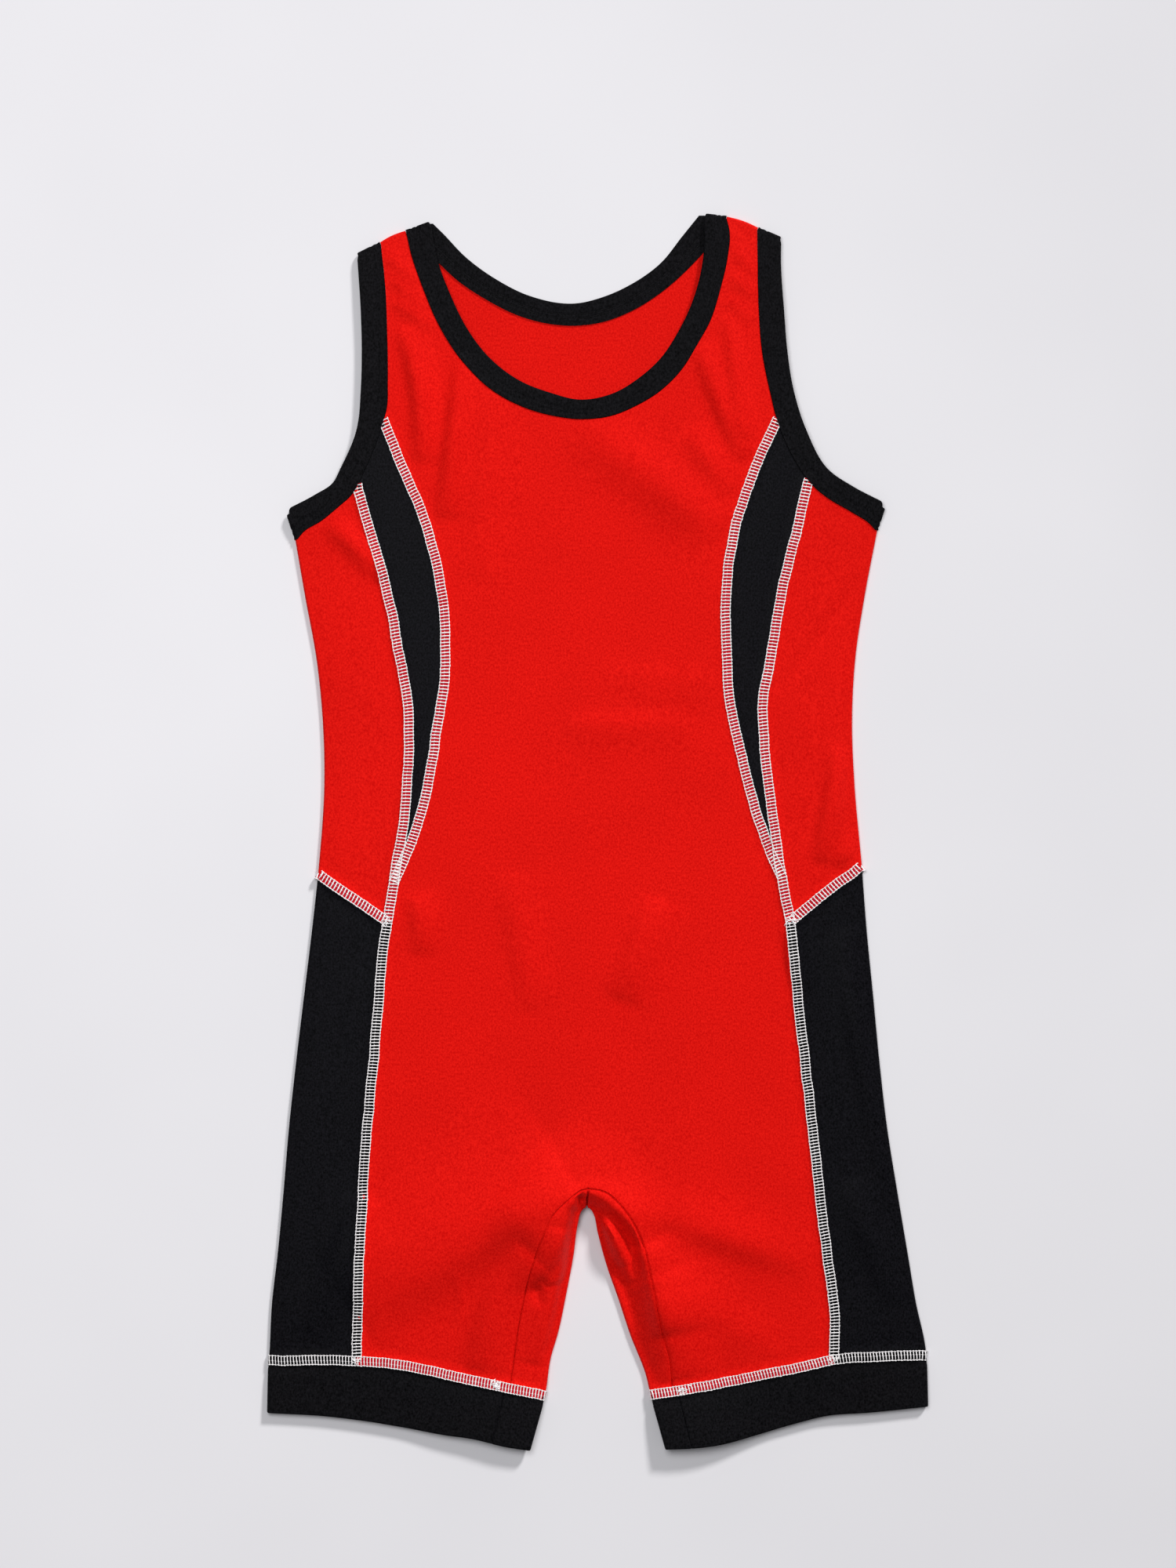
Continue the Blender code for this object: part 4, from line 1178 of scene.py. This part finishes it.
TACK_SEEDS = {"left": 31, "right": 32}
TACK_SPREAD = 1.5
TACK_COUNTS = (8, 8, 20)       # threads at the hip, at the foot of the leg seam, and on the hem
TACK_SPANS = ((0.0, math.pi), (1.6, 3.8), (-0.4, 0.4), (0.4, 0.75))   # angle, length, bow, height
TACK_SHARES = (-0.5, -0.2, 0.2, 0.5)                # the places of a thread along its length
TACK_HALF_WIDTHS = (0.16, 0.24, 0.24, 0.16)
TACK_HALF_HEIGHTS = (0.12, 0.17, 0.17, 0.12)
TACK_DIVE = 0.35               # how much lower a thread's ends lie than its middle
TACK_FROM_JOIN = 1.06          # the rows of the hem's flatlock overlap a little outside the join
OVERLOCK_PITCH = 1.5 * MM
OVERLOCK_JITTER = 0.22
OVERLOCK_SEED = 41


def binding_path(rows, share, shares, fullness):
    """The outer points and sideways vectors of a line at one share across a band's rows."""
    column = np.array([[np.interp(share, shares, row[:, k]) for k in range(3)] for row in rows])
    column = np.vstack((column, column[:1]))
    sides = rows[:, -1] - rows[:, 0]
    sides = np.vstack((sides, sides[:1]))
    across_it, away = frames_of(column, sides)
    full = float(np.interp(share, shares, fullness))
    return column + away * BAND_WALL / 2 * full, across_it


def topstitches():
    """The two rows of black topstitching on each binding."""
    for name in ("neck", *(f"armhole_{side}" for side in SIDES)):
        rows, places, shares, fullness = binding_rows(name)
        paths = [binding_path(rows, place / BINDING_WIDTH, shares, fullness) for place in places]
        sewn(f"topstitch_{name}", "black_thread", "topstitch", paths, TOPSTITCH_PITCH)


TOPSTITCH_PITCH = 2.0 * MM

WHITE = (1.0, 1.0, 1.0)
RAMP_ENDS = (0.3, 0.7)         # the noise's values that give a ramp's two colours
NOISE_ROUGHNESS = 0.6
SHEEN_ROUGHNESS = 0.5
# Noises, as size, stretch along the length, and detail
KNIT_GRAIN = (1.0 * MM, 1.4, 3.0)
KNIT_SHADE = (60.0 * MM, 1.2, 2.0)
KNIT_DIM = (0.94, 0.94, 0.94)
KNIT_BUMP = ((0.45 * MM, 1.8, 1.0), 0.6, 0.12 * MM)     # the noise, its strength and height
THREAD_GRAIN = (0.35 * MM, 1.0, 2.0)
THREAD_BUMP = (THREAD_GRAIN, 0.4, 0.06 * MM)
FLOOR_SHADE = (250.0 * MM, 1.0, 2.0)


def node(tree, kind, **values):
    """A node with its plain properties and its named inputs set."""
    made = tree.nodes.new(kind)
    for key, value in values.items():
        if hasattr(made, key):
            setattr(made, key, value)
        else:
            made.inputs[key].default_value = value
    return made


def speckle(tree, size, stretch, detail):
    """Noise with features of a size in metres, stretched along the length of the cloth."""
    coordinates = node(tree, "ShaderNodeTexCoord")
    mapping = node(tree, "ShaderNodeMapping", Scale=(1 / size, 1 / (size * stretch), 1 / size))
    texture = node(tree, "ShaderNodeTexNoise", Scale=1.0, Detail=detail,
                   Roughness=NOISE_ROUGHNESS)
    tree.links.new(coordinates.outputs["Object"], mapping.inputs["Vector"])
    tree.links.new(mapping.outputs["Vector"], texture.inputs["Vector"])
    return texture.outputs["Fac"]


def ramp(tree, value, *colours):
    """A noise's value turned into a colour between two."""
    made = node(tree, "ShaderNodeValToRGB")
    for element, place, colour in zip(made.color_ramp.elements, RAMP_ENDS, colours):
        element.position = place
        element.color = (*colour, 1.0)
    tree.links.new(value, made.inputs["Fac"])
    return made.outputs["Color"]


def finish(name, dark, light, grain, gloss, sheen=(0.0, WHITE), tint=WHITE, shade=None, bump=None):
    """A grain between two colours, with gloss, and for cloth a slow change of shade and a bump."""
    made = bpy.data.materials.new(name)
    made.use_nodes = True
    tree = made.node_tree
    shader = tree.nodes["Principled BSDF"]
    for key, value in (
        ("Roughness", gloss[0]), ("Specular IOR Level", gloss[1]), ("Specular Tint", (*tint, 1.0)),
        ("Sheen Weight", sheen[0]), ("Sheen Roughness", SHEEN_ROUGHNESS),
        ("Sheen Tint", (*sheen[1], 1.0)),
    ):
        shader.inputs[key].default_value = value
    colour = ramp(tree, speckle(tree, *grain), dark, light)
    if shade is not None:
        mix = node(tree, "ShaderNodeMix", data_type="RGBA", blend_type="MULTIPLY", Factor=1.0)
        tree.links.new(colour, mix.inputs["A"])
        tree.links.new(ramp(tree, speckle(tree, *shade), KNIT_DIM, WHITE), mix.inputs["B"])
        colour = mix.outputs["Result"]
    tree.links.new(colour, shader.inputs["Base Color"])
    if bump is not None:
        relief, strength, height = bump
        made_bump = node(tree, "ShaderNodeBump", Strength=strength, Distance=height)
        tree.links.new(speckle(tree, *relief), made_bump.inputs["Height"])
        tree.links.new(made_bump.outputs["Normal"], shader.inputs["Normal"])
    return made


def knit(name, dark, light, gloss, sheen, tint=WHITE):
    """Fine jersey: a grain of loops, drawn out along the length, over a slow change of shade."""
    return finish(name, dark, light, KNIT_GRAIN, gloss, sheen, tint, KNIT_SHADE, KNIT_BUMP)


def thread(name, dark, light, gloss):
    """Spun polyester thread, a little uneven in shade and surface."""
    return finish(name, dark, light, THREAD_GRAIN, gloss, (0.1, WHITE), bump=THREAD_BUMP)


# The dark and light ends of a colour, its gloss as roughness and specular level, and for a knit its
# sheen as weight and tint, and the tint of its gloss
KNITS = {
    "red_knit": ((0.60, 0.0022, 0.0020), (0.91, 0.0120, 0.0072), (0.6, 0.25),
                 (0.03, (1.0, 0.25, 0.2)), (1.0, 0.06, 0.05)),
    "black_knit": ((0.0001, 0.0001, 0.0004), (0.0092, 0.0088, 0.0118), (0.5, 0.035),
                   (0.012, (0.8, 0.85, 1.0))),
    "black_band": ((0.0002, 0.0002, 0.0004), (0.0096, 0.0092, 0.0112), (0.62, 0.035),
                   (0.01, (0.8, 0.85, 1.0))),
}
THREADS = {
    "white_thread": ((0.92, 0.89, 0.91), (1.0, 0.98, 0.99), (0.5, 0.35)),
    "red_thread": ((0.42, 0.002, 0.010), (0.62, 0.004, 0.018), (0.7, 0.1)),
    "black_thread": ((0.0004, 0.0004, 0.0005), (0.0016, 0.0016, 0.0020), (0.9, 0.0)),
}
FINISHES = {name: knit(name, *values) for name, values in KNITS.items()}
FINISHES.update((name, thread(name, *values)) for name, values in THREADS.items())


def floor():
    """The plain pale surface that the garment lies on."""
    bpy.ops.mesh.primitive_plane_add(size=FLOOR_SIZE, location=(0.0, 0.0, 0.0))
    ground = bpy.context.object
    ground.name = "floor"
    made = finish("floor", (0.815, 0.808, 0.845), (0.845, 0.838, 0.875), FLOOR_SHADE, (0.9, 0.0))
    ground.data.materials.append(made)


def lights():
    """A low key light from the upper right, a broad soft one overhead, and an even fill."""
    for name, (kind, azimuth, elevation, distance, power, colour, extent) in LAMPS.items():
        azimuth, elevation = math.radians(azimuth), math.radians(elevation)
        direction = Vector((
            math.cos(elevation) * math.cos(azimuth),
            math.cos(elevation) * math.sin(azimuth),
            math.sin(elevation),
        ))
        data = bpy.data.lights.new(name, kind)
        data.energy = power
        data.color = colour
        for key, value in extent.items():
            setattr(data, key, value)
        stand = bpy.data.objects.new(name, data)
        stand.location = direction * distance
        stand.rotation_euler = direction.to_track_quat("Z", "Y").to_euler()
        bpy.context.scene.collection.objects.link(stand)
    world = bpy.data.worlds.new("studio")
    world.use_nodes = True
    background = world.node_tree.nodes["Background"]
    background.inputs["Color"].default_value = (*FILL_COLOUR, 1.0)
    background.inputs["Strength"].default_value = FILL
    bpy.context.scene.world = world
    bpy.context.scene.view_settings.view_transform = "Standard"


def camera():
    """A camera straight above, which frames the garment as it is seen."""
    data = bpy.data.cameras.new("camera")
    data.sensor_width = SENSOR
    data.lens = SENSOR * CAMERA_HEIGHT / VIEW_LENGTH
    eye = bpy.data.objects.new("camera", data)
    eye.location = (VIEW_MIDDLE[0], VIEW_MIDDLE[1], CAMERA_HEIGHT)
    bpy.context.scene.collection.objects.link(eye)
    bpy.context.scene.camera = eye


FLOOR_SIZE = 12.0
# Each light's kind, azimuth and elevation in degrees, distance, power, colour and extent
LAMPS = {
    "key": ("SUN", 58, 29, 1.0, 2.4, (1.0, 0.985, 0.965), {"angle": math.radians(9)}),
    "broad": ("AREA", 130, 73, 1.85, 17.0, WHITE, {"shape": "DISK", "size": 1.1}),
}
FILL_COLOUR = (0.985, 0.985, 1.0)
FILL = 0.17
SENSOR = 36.0
CAMERA_HEIGHT = 2.2
VIEW_LENGTH = 0.92
VIEW_MIDDLE = (-5.3 * MM, 27.7 * MM)


camera()
lights()
floor()
body_panel("front_panel", FRONT_NECK, "strap inner_princess outer_lower", front_middle)
body_panel("back_panel", BACK_NECK, "strap insert_top outer_upper outer_lower", back_middle)
bands()
for side in SIDES:
    side_panels(side)
    flatlock_seams(side, FLATLOCK_SEEDS[side])
    tacks(side, TACK_SEEDS[side])
overlock()
topstitches()
